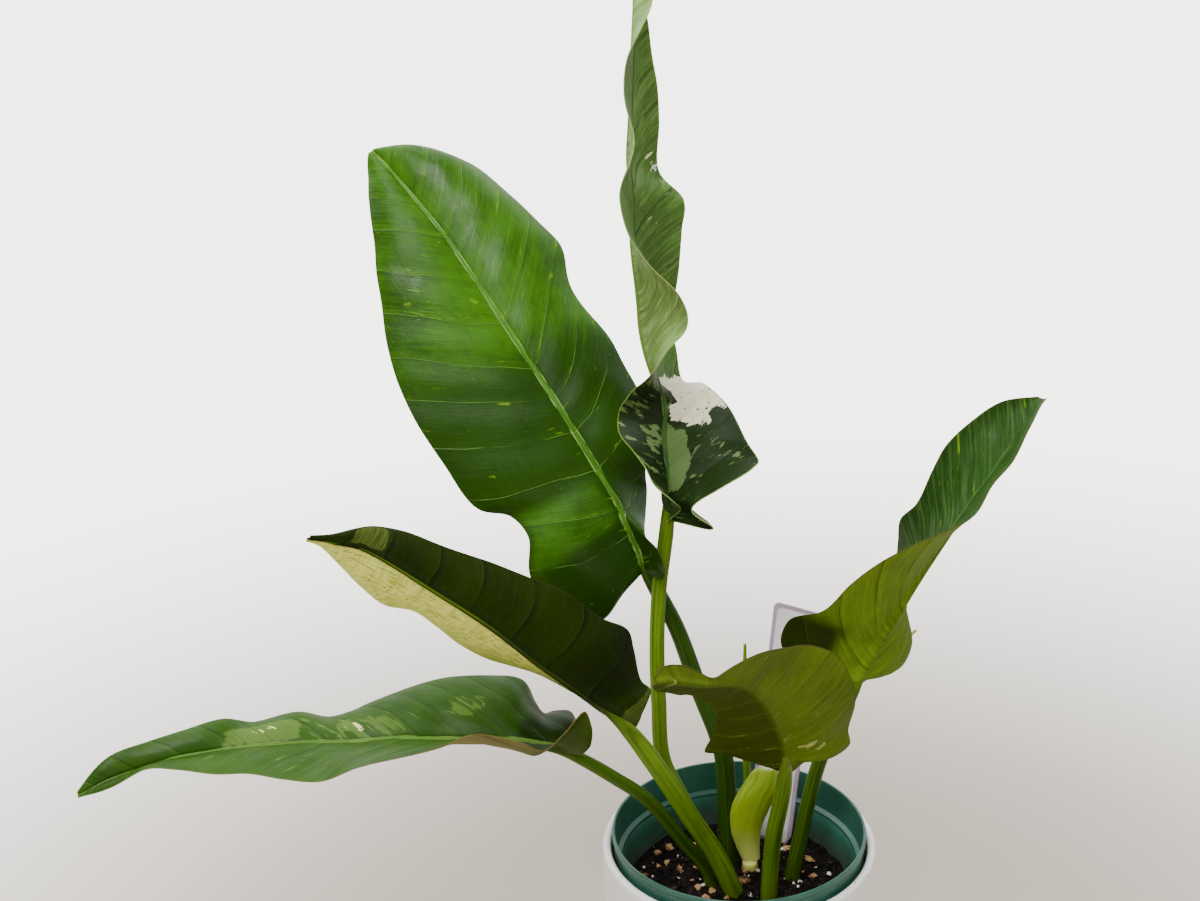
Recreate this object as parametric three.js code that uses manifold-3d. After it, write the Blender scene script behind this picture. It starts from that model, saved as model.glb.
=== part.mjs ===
// A potted philodendron with six long waved leaves, a new leaf, a pale sheath and a plant label,
// in a nursery pot that stands in a smooth cover pot.
// Millimetres, Z up. The pots' axis is the Z axis, the table is z = 0 and the front is towards -Y.
import * as THREE from "three";
import Module from "manifold-3d";

const wasm = await Module();
wasm.setup();

// Running clearance between pieces that rest in or stand in one another.
const CLEARANCE = 0.3;

// Cover pot: a smooth straight cylinder with a rounded lip.
const COVER_RADIUS = 82;
const COVER_HEIGHT = 140;
const COVER_WALL = 5;
const COVER_FLOOR = 7;
const COVER_FOOT_ROUND = 8;

// Nursery pot: thin tapered wall under a wider rim band, six inches across.
const NURSERY_RIM_RADIUS = 76;
const NURSERY_RIM_Z = 148.5;
const NURSERY_BAND = 20;
const NURSERY_WALL = 1.6;
const NURSERY_STEP = 2.6;
const NURSERY_FOOT_RADIUS = 55;
const DRAIN_COUNT = 5;
const DRAIN_RADIUS = 5;
const DRAIN_RING = 40;

// Soil: its level stands well below the rim.
const SOIL_Z = 108;
const SOIL_RELIEF = 1.3;
const SOIL_MOUND = 2.5;
const ROOTED_DEPTH = 12;
const CRUMB_COUNT = 46;
const CRUMB_REACH = 62;
const CRUMB_LEAST = 2.6;
const CRUMB_SPREAD = 2.2;

// Leaves: sheet thickness, and how far the rib stands out under the sheet at the foot and at the tip.
const SHEET = 0.8;
const RIB_FOOT = 3.4;
const RIB_TIP = 0.5;
const RIB_HALF_WIDTH = 4;
const STALK_RUN_ON = 14;
// Share of a leaf's length that is drawn: the last bit of its point stays blunt, as thick as the sheet.
const BLUNT_TIP = 0.97;

// Round pieces are drawn with this many sides.
const POT_SIDES = 48;
const STALK_SIDES = 10;

// Leaf stations from the foot to the tip, each with three places in mm: the rib,
// then the left margin and the right margin as steps from the rib.
// Left and right are as seen on the upper side with the tip up.

// Broad leaf at the upper left, its upper side to the front, the lobes behind its stalk.
const BROAD_LEAF = [
  [[-53, 18, 314], [-1, -1, -5], [2, -2, -3]],
  [[-54, 18, 318], [-11, -2, -21], [11, -23, -3]],
  [[-55, 19, 323], [-21, -3, -41], [14, -27, -3]],
  [[-58, 20, 331], [-38, -8, -43], [14, -28, 0]],
  [[-62, 22, 341], [-54, -14, -31], [11, -20, -2]],
  [[-67, 24, 354], [-51, -12, -16], [17, 10, -13]],
  [[-74, 27, 366], [-53, -9, -19], [25, 19, -15]],
  [[-82, 31, 380], [-63, -17, -26], [33, 7, -10]],
  [[-94, 36, 400], [-69, -16, -21], [48, 16, -8]],
  [[-108, 44, 422], [-76, -12, -7], [44, 28, 7]],
  [[-127, 54, 451], [-66, -10, -7], [39, 30, 11]],
  [[-144, 64, 477], [-53, -6, -2], [49, 32, 11]],
  [[-161, 75, 501], [-39, -1, 0], [44, 29, 9]],
  [[-179, 87, 522], [-24, 3, -1], [33, 25, 12]],
  [[-193, 97, 537], [-11, 2, -3], [18, 13, 7]],
  [[-202, 103, 545], [-0.8, -0.3, -0.7], [0.9, 0.8, 0.5]],
];

// Tall ruffled leaf: it faces the front at the foot and turns edge-on above.
const TALL_LEAF = [
  [[-37, 8, 348], [-2, -3, -2], [2, -3, -2]],
  [[-37, 8, 353], [5, -22, 9], [22, -30, 0]],
  [[-38, 8, 359], [2, -28, 9], [12, -30, 4]],
  [[-38, 8, 368], [-7, -27, 8], [26, -28, 6]],
  [[-38, 8, 379], [-13, -16, 5], [46, -20, 4]],
  [[-39, 8, 389], [-19, -6, 2], [51, -14, -4]],
  [[-39, 8, 400], [-25, 2, -2], [45, -6, -6]],
  [[-38, 8, 409], [-26, 6, 0], [36, 6, 0]],
  [[-39, 9, 418], [-19, -9, 5], [25, 17, 1]],
  [[-42, 10, 429], [-5, -40, 15], [15, 34, -11]],
  [[-46, 11, 442], [8, -47, 16], [17, 41, -10]],
  [[-49, 12, 458], [20, -46, 11], [16, 40, -9]],
  [[-50, 12, 476], [18, -50, 12], [21, 30, -4]],
  [[-52, 11, 495], [5, -53, 11], [25, 23, -3]],
  [[-53, 10, 513], [-5, -54, 11], [27, 20, -5]],
  [[-53, 9, 531], [-8, -51, 9], [28, 17, -7]],
  [[-54, 8, 548], [-1, -46, 8], [16, 26, -9]],
  [[-53, 8, 565], [0, -42, 4], [16, 22, 0]],
  [[-52, 9, 582], [-5, -37, 6], [14, 19, 2]],
  [[-51, 10, 599], [-4, -32, 4], [11, 16, 0]],
  [[-50, 11, 615], [2, -25, 3], [8, 13, 0]],
  [[-49, 12, 630], [8, -14, 1], [5, 12, -2]],
  [[-48, 14, 644], [8, -6, 1], [3, 8, 0]],
  [[-45, 16, 657], [-0.9, -0.9, 0.4], [0.9, 0.9, -0.4]],
];

// Leaf at the middle left, folded along its rib, its underside to the front.
const PALE_LEAF = [
  [[-62, -30, 235], [2, 3, 0], [1, 3, -3]],
  [[-65, -31, 238], [12, 17, 6], [8, 19, -3]],
  [[-69, -33, 244], [18, 23, 4], [4, 31, -9]],
  [[-77, -37, 252], [21, 29, 1], [0, 37, -15]],
  [[-87, -43, 264], [28, 33, 9], [-2, 43, -20]],
  [[-99, -50, 278], [36, 36, 11], [-3, 44, -23]],
  [[-111, -57, 292], [34, 37, 7], [-4, 43, -27]],
  [[-122, -64, 306], [26, 34, 14], [-7, 42, -32]],
  [[-133, -71, 320], [16, 33, 14], [-10, 39, -35]],
  [[-146, -79, 335], [12, 31, 12], [-10, 37, -36]],
  [[-157, -86, 347], [8, 28, 11], [-9, 36, -34]],
  [[-169, -95, 361], [8, 27, 7], [-7, 33, -33]],
  [[-180, -104, 374], [5, 24, 7], [-9, 28, -35]],
  [[-192, -114, 387], [5, 20, 3], [-6, 22, -30]],
  [[-202, -123, 394], [6, 11, 3], [-4, 15, -16]],
  [[-209, -130, 399], [3, 4, 1], [-2, 6, -5]],
  [[-215, -137, 403], [1, 1, 1], [-1, 0, -1]],
];

// Low leaf reaching far left, its near edge curled up at the foot.
const LOW_LEAF = [
  [[-95, -30, 221], [2, -3, 1], [2, 3, 0]],
  [[-98, -31, 223], [12, -17, 13], [4, 25, 0]],
  [[-102, -31, 225], [17, -25, 27], [4, 35, 3]],
  [[-108, -32, 227], [19, -28, 37], [1, 40, -1]],
  [[-115, -33, 229], [15, -35, 26], [1, 41, -4]],
  [[-125, -34, 232], [15, -40, 16], [7, 44, 0]],
  [[-139, -35, 234], [15, -45, 23], [15, 43, 13]],
  [[-158, -37, 236], [11, -47, 29], [15, 43, 17]],
  [[-177, -39, 238], [12, -49, 23], [12, 41, 17]],
  [[-195, -42, 241], [10, -48, 16], [7, 40, 10]],
  [[-217, -46, 242], [8, -44, 9], [8, 38, 5]],
  [[-238, -50, 245], [8, -38, -2], [6, 34, -4]],
  [[-258, -54, 247], [8, -34, -2], [7, 32, 2]],
  [[-277, -58, 248], [8, -26, -1], [3, 26, 0]],
  [[-295, -62, 248], [7, -20, -2], [6, 18, 10]],
  [[-313, -66, 247], [6, -14, 1], [5, 12, 11]],
  [[-329, -70, 244], [5, -8, 5], [2, 8, 12]],
  [[-345, -75, 241], [3, -4, -2], [0, 5, 11]],
  [[-364, -82, 234], [0.3, -1, 0.3], [-0.3, 0.9, 0.2]],
];

// Leaf that arches to the front, its underside outwards.
const FRONT_LEAF = [
  [[25, -35, 207], [2, 2, -3], [-2, 2, -3]],
  [[25, -37, 212], [12, 15, -4], [-8, 11, -8]],
  [[23, -40, 220], [37, 16, -6], [-21, 16, -11]],
  [[21, -46, 232], [39, 16, -2], [-36, 16, -14]],
  [[17, -55, 246], [45, 15, 4], [-39, 15, -21]],
  [[12, -67, 262], [46, 17, 9], [-31, 11, -19]],
  [[6, -81, 278], [41, 19, 16], [-24, 3, -10]],
  [[-3, -96, 294], [30, 16, 15], [-19, -2, -9]],
  [[-12, -110, 304], [18, 6, 14], [-16, -3, -6]],
  [[-20, -121, 310], [9, 3, 9], [-15, -3, -5]],
  [[-27, -131, 315], [4, 4, 2], [-13, -3, -3]],
  [[-34, -139, 320], [2, 3, 6], [-11, -3, -2]],
  [[-41, -146, 325], [0, 2, 9], [-9, -2, -3]],
  [[-48, -152, 329], [-1, 2, 7], [-5, -1, -4]],
  [[-54, -157, 331], [0.4, 0.2, 1], [-0.4, 0, -1]],
];

// Leaf at the right that turns over half way up.
const TURNED_LEAF = [
  [[69, 10, 233], [1, 2, -3], [-3, -1, -1]],
  [[71, 10, 238], [8, 12, -4], [-14, -6, 4]],
  [[73, 10, 242], [20, 24, -11], [-35, -10, 12]],
  [[76, 10, 249], [30, 34, -18], [-51, -12, 22]],
  [[81, 11, 257], [31, 39, -17], [-52, -15, 29]],
  [[87, 12, 268], [23, 44, -12], [-39, -20, 25]],
  [[94, 13, 280], [12, 47, -9], [-32, -27, 32]],
  [[102, 14, 294], [0, 46, -5], [-25, -36, 34]],
  [[111, 16, 308], [-9, 40, 0], [-16, -44, 33]],
  [[121, 18, 323], [-19, 32, 1], [-9, -48, 26]],
  [[131, 20, 338], [-21, 24, -2], [-5, -46, 18]],
  [[141, 22, 352], [-23, 20, 5], [-4, -42, 18]],
  [[152, 24, 367], [-26, 18, 6], [-2, -36, 13]],
  [[162, 27, 381], [-22, 15, 6], [-2, -29, 14]],
  [[171, 30, 393], [-14, 10, 6], [-1, -16, 9]],
  [[179, 33, 403], [-1, 1, 0], [1, -1, 0]],
];

// Each leaf: its stations, how far each half bows at the foot and at the tip, its rows, its stalk from the soil to the rib,
// and the stalk's radius at the soil and at the blade.
const LEAVES = [
  {
    name: "leaf_broad_upper_left",
    stations: BROAD_LEAF,
    bow: [[-4, -8], [3, -13]],
    rows: 32,
    stalk: [[-4, 20], [-5, 19, 150], [-8, 16, 192], [-21, 17, 232], [-36, 19, 278], [-50, 18.5, 308]],
    radii: [6.6, 4.6],
    color: 0x3f7a1d,
  },
  {
    name: "leaf_tall_twisted",
    stations: TALL_LEAF,
    bow: [[0, 0], [4, 7]],
    rows: 42,
    stalk: [[-10, 9], [-24, 4, 145], [-35, 2, 172], [-43, 2, 191], [-46, 3, 234], [-46, 5, 273],
      [-43, 10, 310], [-39, 9, 334]],
    radii: [4.8, 4.3],
    color: 0x2f5a33,
  },
  {
    name: "leaf_half_pale",
    stations: PALE_LEAF,
    bow: [[5, 6], [3, 5]],
    rows: 28,
    stalk: [[1, -10], [-15, -13, 138], [-31, -18, 170], [-54, -27, 222]],
    radii: [6.2, 5.4],
    color: 0x6f7f2c,
  },
  {
    name: "leaf_low_left",
    stations: LOW_LEAF,
    bow: [[7, -7], [-6, -6]],
    rows: 32,
    stalk: [[-13, -1], [-20, -4, 122], [-33, -9, 144], [-59, -20, 186], [-81, -27, 210]],
    radii: [4.4, 3.8],
    color: 0x4d7b34,
  },
  {
    name: "leaf_front_folded",
    stations: FRONT_LEAF,
    bow: [[8, -6], [6, 0]],
    rows: 26,
    stalk: [[16, -17], [17.5, -20, 134], [19, -26, 162], [23, -31, 185]],
    radii: [5.2, 4.8],
    color: 0x6c7f22,
  },
  {
    name: "leaf_right_turned",
    stations: TURNED_LEAF,
    bow: [[5, 5], [6, -2]],
    rows: 26,
    stalk: [[31, 5], [38, 6, 133], [53, 8, 196], [61.5, 9, 219]],
    radii: [4.9, 4.2],
    color: 0x5f7a24,
  },
];

// New leaf: still rolled, a thin spike that stands behind the pale sheath.
const SPIKE = [[9, 21], [8, 20, 154], [7, 19, 180], [6, 18, 224], [6, 16, 262]];
const SPIKE_RADII = [2.6, 2.4, 2.2, 1.6, 0.5];

// Dried sheath: a thin straw-coloured strip that leans out behind the right leaf.
const STRAW = [[33, 16], [40, 17, 133], [55, 20, 196], [74, 24, 229], [116, 62, 244]];
const STRAW_RADIUS = 1.5;

// Pale sheath: a boat-shaped leaf base on a short stub, bowed towards the front.
const SHEATH = [
  [[8, 8, 120], [-5, 3, -1], [6, 3, -2]],
  [[6, 6, 130], [-6, 7, -4], [8, 7, -5]],
  [[4, 3, 145], [-7, 9, -6], [11, 9, -6]],
  [[7, 1, 160], [-10, 10, -7], [13, 10, -6]],
  [[11, 0, 170], [-11, 10, -7], [13, 10, -6]],
  [[16, 0, 179], [-10, 8, -4], [11, 8, -6]],
  [[18, 1, 185], [-7, 4, -1], [6, 4, -3]],
  [[19, 2, 187], [-3, 2, 0], [3, 2, 0]],
];
const SHEATH_STUB = [[8, 10], [8, 9.5, 121]];
const SHEATH_STUB_RADIUS = 6;
const SHEATH_BOW = -8;

// Plant label: a thin blank stake with rounded upper corners and a tapered foot.
const LABEL_WIDTH = 30;
const LABEL_HEIGHT = 170;
const LABEL_THICKNESS = 0.8;
const LABEL_TAPER = 20;
const LABEL_FOOT_WIDTH = 12;
const LABEL_CORNER = 4;
const LABEL_FOOT = [22, 44, 96];
const LABEL_LEAN_BACK = 8;
const LABEL_LEAN_RIGHT = 3;
const LABEL_TURN = -32;

// Closed solid from points and triangles.
function solidOf(points, triangles) {
  return new wasm.Manifold(
    new wasm.Mesh({
      numProp: 3,
      vertProperties: new Float32Array(points.flat()),
      triVerts: new Uint32Array(triangles.flat()),
    }),
  );
}

// Outer skin of a solid: folds pressed against the stalk leave no pocket inside.
function outerSkin(solid) {
  const shells = solid.decompose();
  return shells.reduce((best, shell) => (shell.volume() > best.volume() ? shell : best));
}

// Two triangles for the quad a b c d.
function quad(triangles, a, b, c, d) {
  triangles.push([a, b, c], [a, c, d]);
}

// Solid of revolution round Z from a profile of [radius, z] that starts and ends on the axis.
function revolve(profile, sides) {
  const points = [[0, 0, profile[0][1]]];
  const rings = profile.slice(1, -1);
  for (const [radius, z] of rings) {
    for (let k = 0; k < sides; k++) {
      const turn = (2 * Math.PI * k) / sides;
      points.push([radius * Math.cos(turn), radius * Math.sin(turn), z]);
    }
  }
  return closeRings(points, rings.length, sides, [0, 0, profile.at(-1)[1]]);
}

// Joins rings of equal size into a closed skin between a first and a last centre point.
function closeRings(points, ringCount, sides, last) {
  const triangles = [];
  const at = (ring, k) => 1 + ring * sides + (k % sides);
  const top = points.length;
  points.push(last);
  for (let k = 0; k < sides; k++) {
    triangles.push([0, at(0, k + 1), at(0, k)]);
    for (let ring = 0; ring + 1 < ringCount; ring++) {
      quad(triangles, at(ring, k), at(ring, k + 1), at(ring + 1, k + 1), at(ring + 1, k));
    }
    triangles.push([top, at(ringCount - 1, k), at(ringCount - 1, k + 1)]);
  }
  return solidOf(points, triangles);
}

// Arc points round [r, z] from one angle to another, in degrees.
function arc(r, z, radius, from, to, steps) {
  return Array.from({ length: steps + 1 }, (_, k) => {
    const angle = THREE.MathUtils.degToRad(from + ((to - from) * k) / steps);
    return [r + radius * Math.cos(angle), z + radius * Math.sin(angle)];
  });
}

// Smooth curve through values at rising parameters, as a function of the parameter.
function smoothCurve(params, values) {
  const last = params.length - 1;
  const slope = (k) => values[k + 1].map((v, i) => (v - values[k][i]) / (params[k + 1] - params[k]));
  const tangents = values.map((_, k) => {
    if (k === 0) return slope(0);
    if (k === last) return slope(last - 1);
    const before = params[k] - params[k - 1];
    const after = params[k + 1] - params[k];
    const [m0, m1] = [slope(k - 1), slope(k)];
    return m0.map((v, i) => (after * v + before * m1[i]) / (before + after));
  });
  return (q) => {
    let k = 0;
    while (k < last - 1 && params[k + 1] <= q) k++;
    const h = params[k + 1] - params[k];
    const t = (q - params[k]) / h;
    const [t2, t3] = [t * t, t * t * t];
    return values[k].map(
      (v, i) =>
        (2 * t3 - 3 * t2 + 1) * v +
        (t3 - 2 * t2 + t) * h * tangents[k][i] +
        (3 * t2 - 2 * t3) * values[k + 1][i] +
        (t3 - t2) * h * tangents[k + 1][i],
    );
  };
}

const vector = (p) => new THREE.Vector3(...p);

// Rounded tube along a smooth path, thinning with the given radii, closed at both ends.
function tube(path, radii, sides, steps) {
  const params = [0];
  for (let k = 1; k < path.length; k++) {
    params.push(params[k - 1] + vector(path[k]).distanceTo(vector(path[k - 1])));
  }
  const end = params.at(-1);
  const centre = smoothCurve(params, path);
  const spread = radii.map((_, k) => (end * k) / (radii.length - 1));
  const radius = smoothCurve(spread, radii.map((r) => [r]));
  const points = [path[0]];
  let across = new THREE.Vector3(1, 0, 0);
  for (let row = 0; row <= steps; row++) {
    const q = (end * row) / steps;
    const here = vector(centre(q));
    const ahead = vector(centre(Math.min(q + 0.5, end)));
    const behind = vector(centre(Math.max(q - 0.5, 0)));
    const along = ahead.sub(behind).normalize();
    across = across.clone().addScaledVector(along, -across.dot(along)).normalize();
    const other = along.clone().cross(across);
    for (let k = 0; k < sides; k++) {
      const turn = (2 * Math.PI * k) / sides;
      const p = here.clone();
      p.addScaledVector(across, radius(q)[0] * Math.cos(turn));
      p.addScaledVector(other, radius(q)[0] * Math.sin(turn));
      points.push(p.toArray());
    }
  }
  return closeRings(points, steps + 1, sides, path.at(-1));
}

// Rib and margins of a leaf at evenly spaced rows. The rows are spaced by how far
// the rib and the margins move together, so the lobes at the foot get their share.
function leafRows(stations, rows) {
  const places = stations.map(([rib, left, right]) => {
    const foot = vector(rib);
    return [foot, foot.clone().add(vector(left)), foot.clone().add(vector(right))];
  });
  const params = [0];
  for (let k = 1; k < places.length; k++) {
    const moved = places[k].reduce((sum, p, i) => sum + p.distanceTo(places[k - 1][i]), 0);
    params.push(params[k - 1] + moved / 3);
  }
  const curves = [0, 1, 2].map((i) => smoothCurve(params, places.map((p) => p[i].toArray())));
  return Array.from({ length: rows + 1 }, (_, row) => {
    const q = (params.at(-1) * BLUNT_TIP * row) / rows;
    const [rib, left, right] = curves.map((curve) => vector(curve(q)));
    const step = vector(curves[0](q + 0.2)).sub(vector(curves[0](q - 0.2)));
    return { rib, left, right, along: step.normalize(), share: row / rows };
  });
}

// One point of a half sheet: the straight line from rib to margin, bowed at its middle.
function sheetPoint(row, margin, side, [foot, tip], v) {
  const chord = margin.clone().sub(row.rib);
  const width = chord.length();
  const normal = row.along.clone().cross(chord).normalize().multiplyScalar(-side);
  const bow = THREE.MathUtils.lerp(foot, tip, row.share);
  const lift = bow * Math.min(1, width / 40) * 4 * v * (1 - v);
  return row.rib.clone().addScaledVector(chord, v).addScaledVector(normal, -lift);
}

// Leaf blade as a sheet with a raised rib below, split alike on both faces. The rib starts
// beyond the lobes, where the stalk under the sheet thins out.
function blade(stations, rows, bow, thickness, ribFoot, ribTip) {
  const lanes = 3;
  const grid = leafRows(stations, rows).map((row) => {
    const half = (margin, side, h) => {
      const width = margin.distanceTo(row.rib);
      const rib = Math.min(0.5, (RIB_HALF_WIDTH * (1.2 - row.share)) / width);
      return Array.from({ length: lanes + 1 }, (_, k) =>
        sheetPoint(row, margin, side, h, rib + ((1 - rib) * k) / lanes),
      );
    };
    const left = half(row.left, -1, bow[0]).reverse();
    return [...left, row.rib.clone(), ...half(row.right, 1, bow[1])];
  });
  const wide = grid[0].length;
  const middle = (wide - 1) / 2;
  const points = [[], []];
  grid.forEach((line, i) => {
    line.forEach((p, j) => {
      const down = grid[Math.max(i - 1, 0)][j];
      const up = grid[Math.min(i + 1, rows)][j];
      const across = line[Math.min(j + 1, wide - 1)].clone().sub(line[Math.max(j - 1, 0)]);
      const normal = across.cross(up.clone().sub(down)).normalize();
      const share = i / rows;
      const full = THREE.MathUtils.lerp(ribFoot, ribTip, share);
      const rib = j === middle ? full * THREE.MathUtils.smoothstep(share, 0.12, 0.3) : 0;
      points[0].push(p.clone().addScaledVector(normal, thickness / 2).toArray());
      points[1].push(p.clone().addScaledVector(normal, -thickness / 2 - rib).toArray());
    });
  });
  const count = points[0].length;
  const at = (i, j) => i * wide + j;
  const triangles = [];
  for (let i = 0; i < rows; i++) {
    for (let j = 0; j < wide - 1; j++) {
      const [a, b, c, d] = [at(i, j), at(i, j + 1), at(i + 1, j + 1), at(i + 1, j)];
      quad(triangles, a, b, c, d);
      triangles.push([count + a, count + c, count + b], [count + a, count + d, count + c]);
    }
    const [l0, l1, r0, r1] = [at(i, 0), at(i + 1, 0), at(i, wide - 1), at(i + 1, wide - 1)];
    quad(triangles, l0, l1, count + l1, count + l0);
    quad(triangles, r1, r0, count + r0, count + r1);
  }
  for (let j = 0; j < wide - 1; j++) {
    quad(triangles, at(0, j + 1), at(0, j), count + at(0, j), count + at(0, j + 1));
    quad(triangles, at(rows, j), at(rows, j + 1), count + at(rows, j + 1), count + at(rows, j));
  }
  return solidOf(points.flat(), triangles);
}

// A stalk's route starts in the soil: its first entry gives only x and y.
function rooted(path) {
  const [[x, y], ...rest] = path;
  return [[x, y, SOIL_Z - ROOTED_DEPTH], ...rest];
}

// Stalk of a leaf, run on under the rib and thinned there so that it becomes the rib.
function stalk(leaf) {
  const ribRows = leafRows(leaf.stations, leaf.rows);
  const below = ribRows.find((row) => row.rib.distanceTo(ribRows[0].rib) > STALK_RUN_ON);
  const [foot, top] = leaf.radii;
  const attach = ribRows[0].rib.toArray();
  const path = [...rooted(leaf.stalk), attach, below.rib.toArray()];
  const radii = Array.from({ length: 9 }, (_, k) => foot + ((top - foot) * k) / 8);
  radii[8] = top * 0.45;
  return tube(path, radii, STALK_SIDES, 26);
}

// Copy of a stalk's foot, wider by the clearance, that cuts its plain hole in the soil.
function stalkHole(path, radius) {
  const route = rooted(path).slice(0, 3);
  const low = [route[0][0], route[0][1], route[0][2] - CLEARANCE];
  return tube([low, ...route.slice(1)], [radius, radius], 12, 10);
}

function coverPot() {
  const inner = COVER_RADIUS - COVER_WALL;
  const lip = COVER_WALL / 2;
  const profile = [
    [0, 0],
    ...arc(COVER_RADIUS - COVER_FOOT_ROUND, COVER_FOOT_ROUND, COVER_FOOT_ROUND, -90, 0, 4),
    ...arc(COVER_RADIUS - lip, COVER_HEIGHT - lip, lip, 0, 180, 6),
    ...arc(inner - 4, COVER_FLOOR + 4, 4, 0, -90, 3),
    [0, COVER_FLOOR],
  ];
  return revolve(profile, POT_SIDES);
}

// Nursery pot levels: its floor rests in the cover pot just clear of it.
const nurseryFloor = COVER_FLOOR + CLEARANCE;
const stepZ = NURSERY_RIM_Z - NURSERY_BAND;
const bodyTopRadius = NURSERY_RIM_RADIUS - NURSERY_STEP - NURSERY_WALL;

function nurseryPot() {
  const wall = NURSERY_WALL;
  const rim = NURSERY_RIM_RADIUS;
  const profile = [
    [0, nurseryFloor],
    [NURSERY_FOOT_RADIUS - 3, nurseryFloor],
    [NURSERY_FOOT_RADIUS, nurseryFloor + 4],
    [bodyTopRadius, stepZ - 3],
    [rim - 1.2, stepZ],
    [rim - 0.7, NURSERY_RIM_Z - 4],
    [rim, NURSERY_RIM_Z - 3],
    [rim, NURSERY_RIM_Z - 0.6],
    [rim - 0.6, NURSERY_RIM_Z],
    [rim - wall, NURSERY_RIM_Z],
    [rim - wall - 1, stepZ + 1],
    [bodyTopRadius - wall + 0.6, stepZ - 0.5],
    [bodyTopRadius - wall + 0.6, stepZ - 2.5],
    [bodyTopRadius - wall, stepZ - 3.5],
    [NURSERY_FOOT_RADIUS - wall, nurseryFloor + 4.5],
    [NURSERY_FOOT_RADIUS - wall - 2.5, nurseryFloor + wall],
    [0, nurseryFloor + wall],
  ];
  let pot = revolve(profile, POT_SIDES);
  for (let k = 0; k < DRAIN_COUNT; k++) {
    const turn = (2 * Math.PI * (k + 0.5)) / DRAIN_COUNT;
    const [x, y] = [DRAIN_RING * Math.cos(turn), DRAIN_RING * Math.sin(turn)];
    const drill = [[x, y, nurseryFloor - 1], [x, y, nurseryFloor + wall + 1]];
    pot = pot.subtract(tube(drill, [DRAIN_RADIUS, DRAIN_RADIUS], 16, 2));
  }
  return pot;
}

// Soil with a lumpy top: broad waves, a mound round the stalks and fused crumbs.
function soil() {
  const wallTop = stepZ - 3.5;
  const wallFoot = nurseryFloor + 4.5;
  const radiusAt = (z) => {
    const share = (z - wallFoot) / (wallTop - wallFoot);
    const inner = THREE.MathUtils.lerp(NURSERY_FOOT_RADIUS, bodyTopRadius, share) - NURSERY_WALL;
    return inner * Math.cos(Math.PI / POT_SIDES) - CLEARANCE;
  };
  const base = nurseryFloor + NURSERY_WALL + CLEARANCE;
  const crumbs = Array.from({ length: CRUMB_COUNT }, (_, k) => {
    const turn = k * Math.PI * (3 - Math.sqrt(5));
    const reach = CRUMB_REACH * Math.sqrt((k + 0.5) / CRUMB_COUNT);
    const size = CRUMB_LEAST + CRUMB_SPREAD * Math.abs(Math.sin(k * 13));
    return [reach * Math.cos(turn), reach * Math.sin(turn), size];
  });
  const height = (x, y) => {
    const waves = Math.sin(x * 0.13 + 1) * Math.cos(y * 0.11) + 0.6 * Math.sin(x * 0.31 - y * 0.27);
    const mound = SOIL_MOUND * Math.exp(-(x * x + y * y) / 900);
    const lumps = crumbs.reduce((sum, [cx, cy, size]) => {
      const far = Math.hypot(x - cx, y - cy) / size;
      return sum + (far < 1 ? 0.45 * size * (1 - far * far) : 0);
    }, 0);
    return SOIL_Z + SOIL_RELIEF * waves + mound + lumps;
  };
  const sides = POT_SIDES;
  const points = [[0, 0, base]];
  const addRing = (radius, z) => {
    for (let k = 0; k < sides; k++) {
      const turn = (2 * Math.PI * k) / sides;
      const [x, y] = [radius * Math.cos(turn), radius * Math.sin(turn)];
      points.push([x, y, z ?? height(x, y)]);
    }
  };
  addRing(NURSERY_FOOT_RADIUS - 5, base);
  addRing(radiusAt(wallFoot), wallFoot + 0.3);
  addRing(radiusAt(SOIL_Z - 4), SOIL_Z - 4);
  const rings = [0.985, 0.9, 0.8, 0.7, 0.6, 0.5, 0.4, 0.3, 0.2, 0.1];
  rings.forEach((share) => addRing(radiusAt(SOIL_Z) * share));
  return closeRings(points, 3 + rings.length, sides, [0, 0, height(0, 0)]);
}

function sheath() {
  const bow = [SHEATH_BOW, SHEATH_BOW];
  const shell = blade(SHEATH, 14, [bow, bow], 1.4, 0, 0);
  const stub = tube(rooted(SHEATH_STUB), [SHEATH_STUB_RADIUS + 0.6, SHEATH_STUB_RADIUS], 14, 6);
  return outerSkin(shell.add(stub));
}

// The label's plate, or with grow the wider slot that it stands in.
function label(grow = 0) {
  const [w, h, foot] = [LABEL_WIDTH / 2 + grow, LABEL_HEIGHT + grow, LABEL_FOOT_WIDTH / 2 + grow];
  const c = LABEL_CORNER;
  const outline = [
    [-foot, -grow],
    [foot, -grow],
    [w, LABEL_TAPER],
    ...arc(w - c, h - c, c, 0, 90, 4),
    ...arc(-w + c, h - c, c, 90, 180, 4),
    [-w, LABEL_TAPER],
  ];
  const shape = new THREE.Shape(outline.map(([x, y]) => new THREE.Vector2(x, y)));
  const depth = LABEL_THICKNESS + 2 * grow;
  const plate = new THREE.ExtrudeGeometry(shape, { depth, bevelEnabled: false });
  plate.translate(0, 0, -depth / 2);
  const rad = THREE.MathUtils.degToRad;
  const place = new THREE.Euler(rad(90 - LABEL_LEAN_BACK), rad(LABEL_LEAN_RIGHT), rad(LABEL_TURN), "ZYX");
  plate.applyMatrix4(new THREE.Matrix4().makeRotationFromEuler(place));
  plate.translate(...LABEL_FOOT);
  return manifoldOf(plate);
}

// Closed solid of a three.js geometry, its equal corners joined.
function manifoldOf(geometry) {
  const { position } = geometry.attributes;
  const seen = new Map();
  const points = [];
  const triangles = [];
  for (let k = 0; k < position.count; k++) {
    const p = [position.getX(k), position.getY(k), position.getZ(k)];
    const key = p.map((v) => v.toFixed(3)).join();
    if (!seen.has(key)) {
      seen.set(key, points.length);
      points.push(p);
    }
    if (k % 3 === 0) triangles.push([]);
    triangles.at(-1).push(seen.get(key));
  }
  return solidOf(points, triangles);
}

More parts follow.
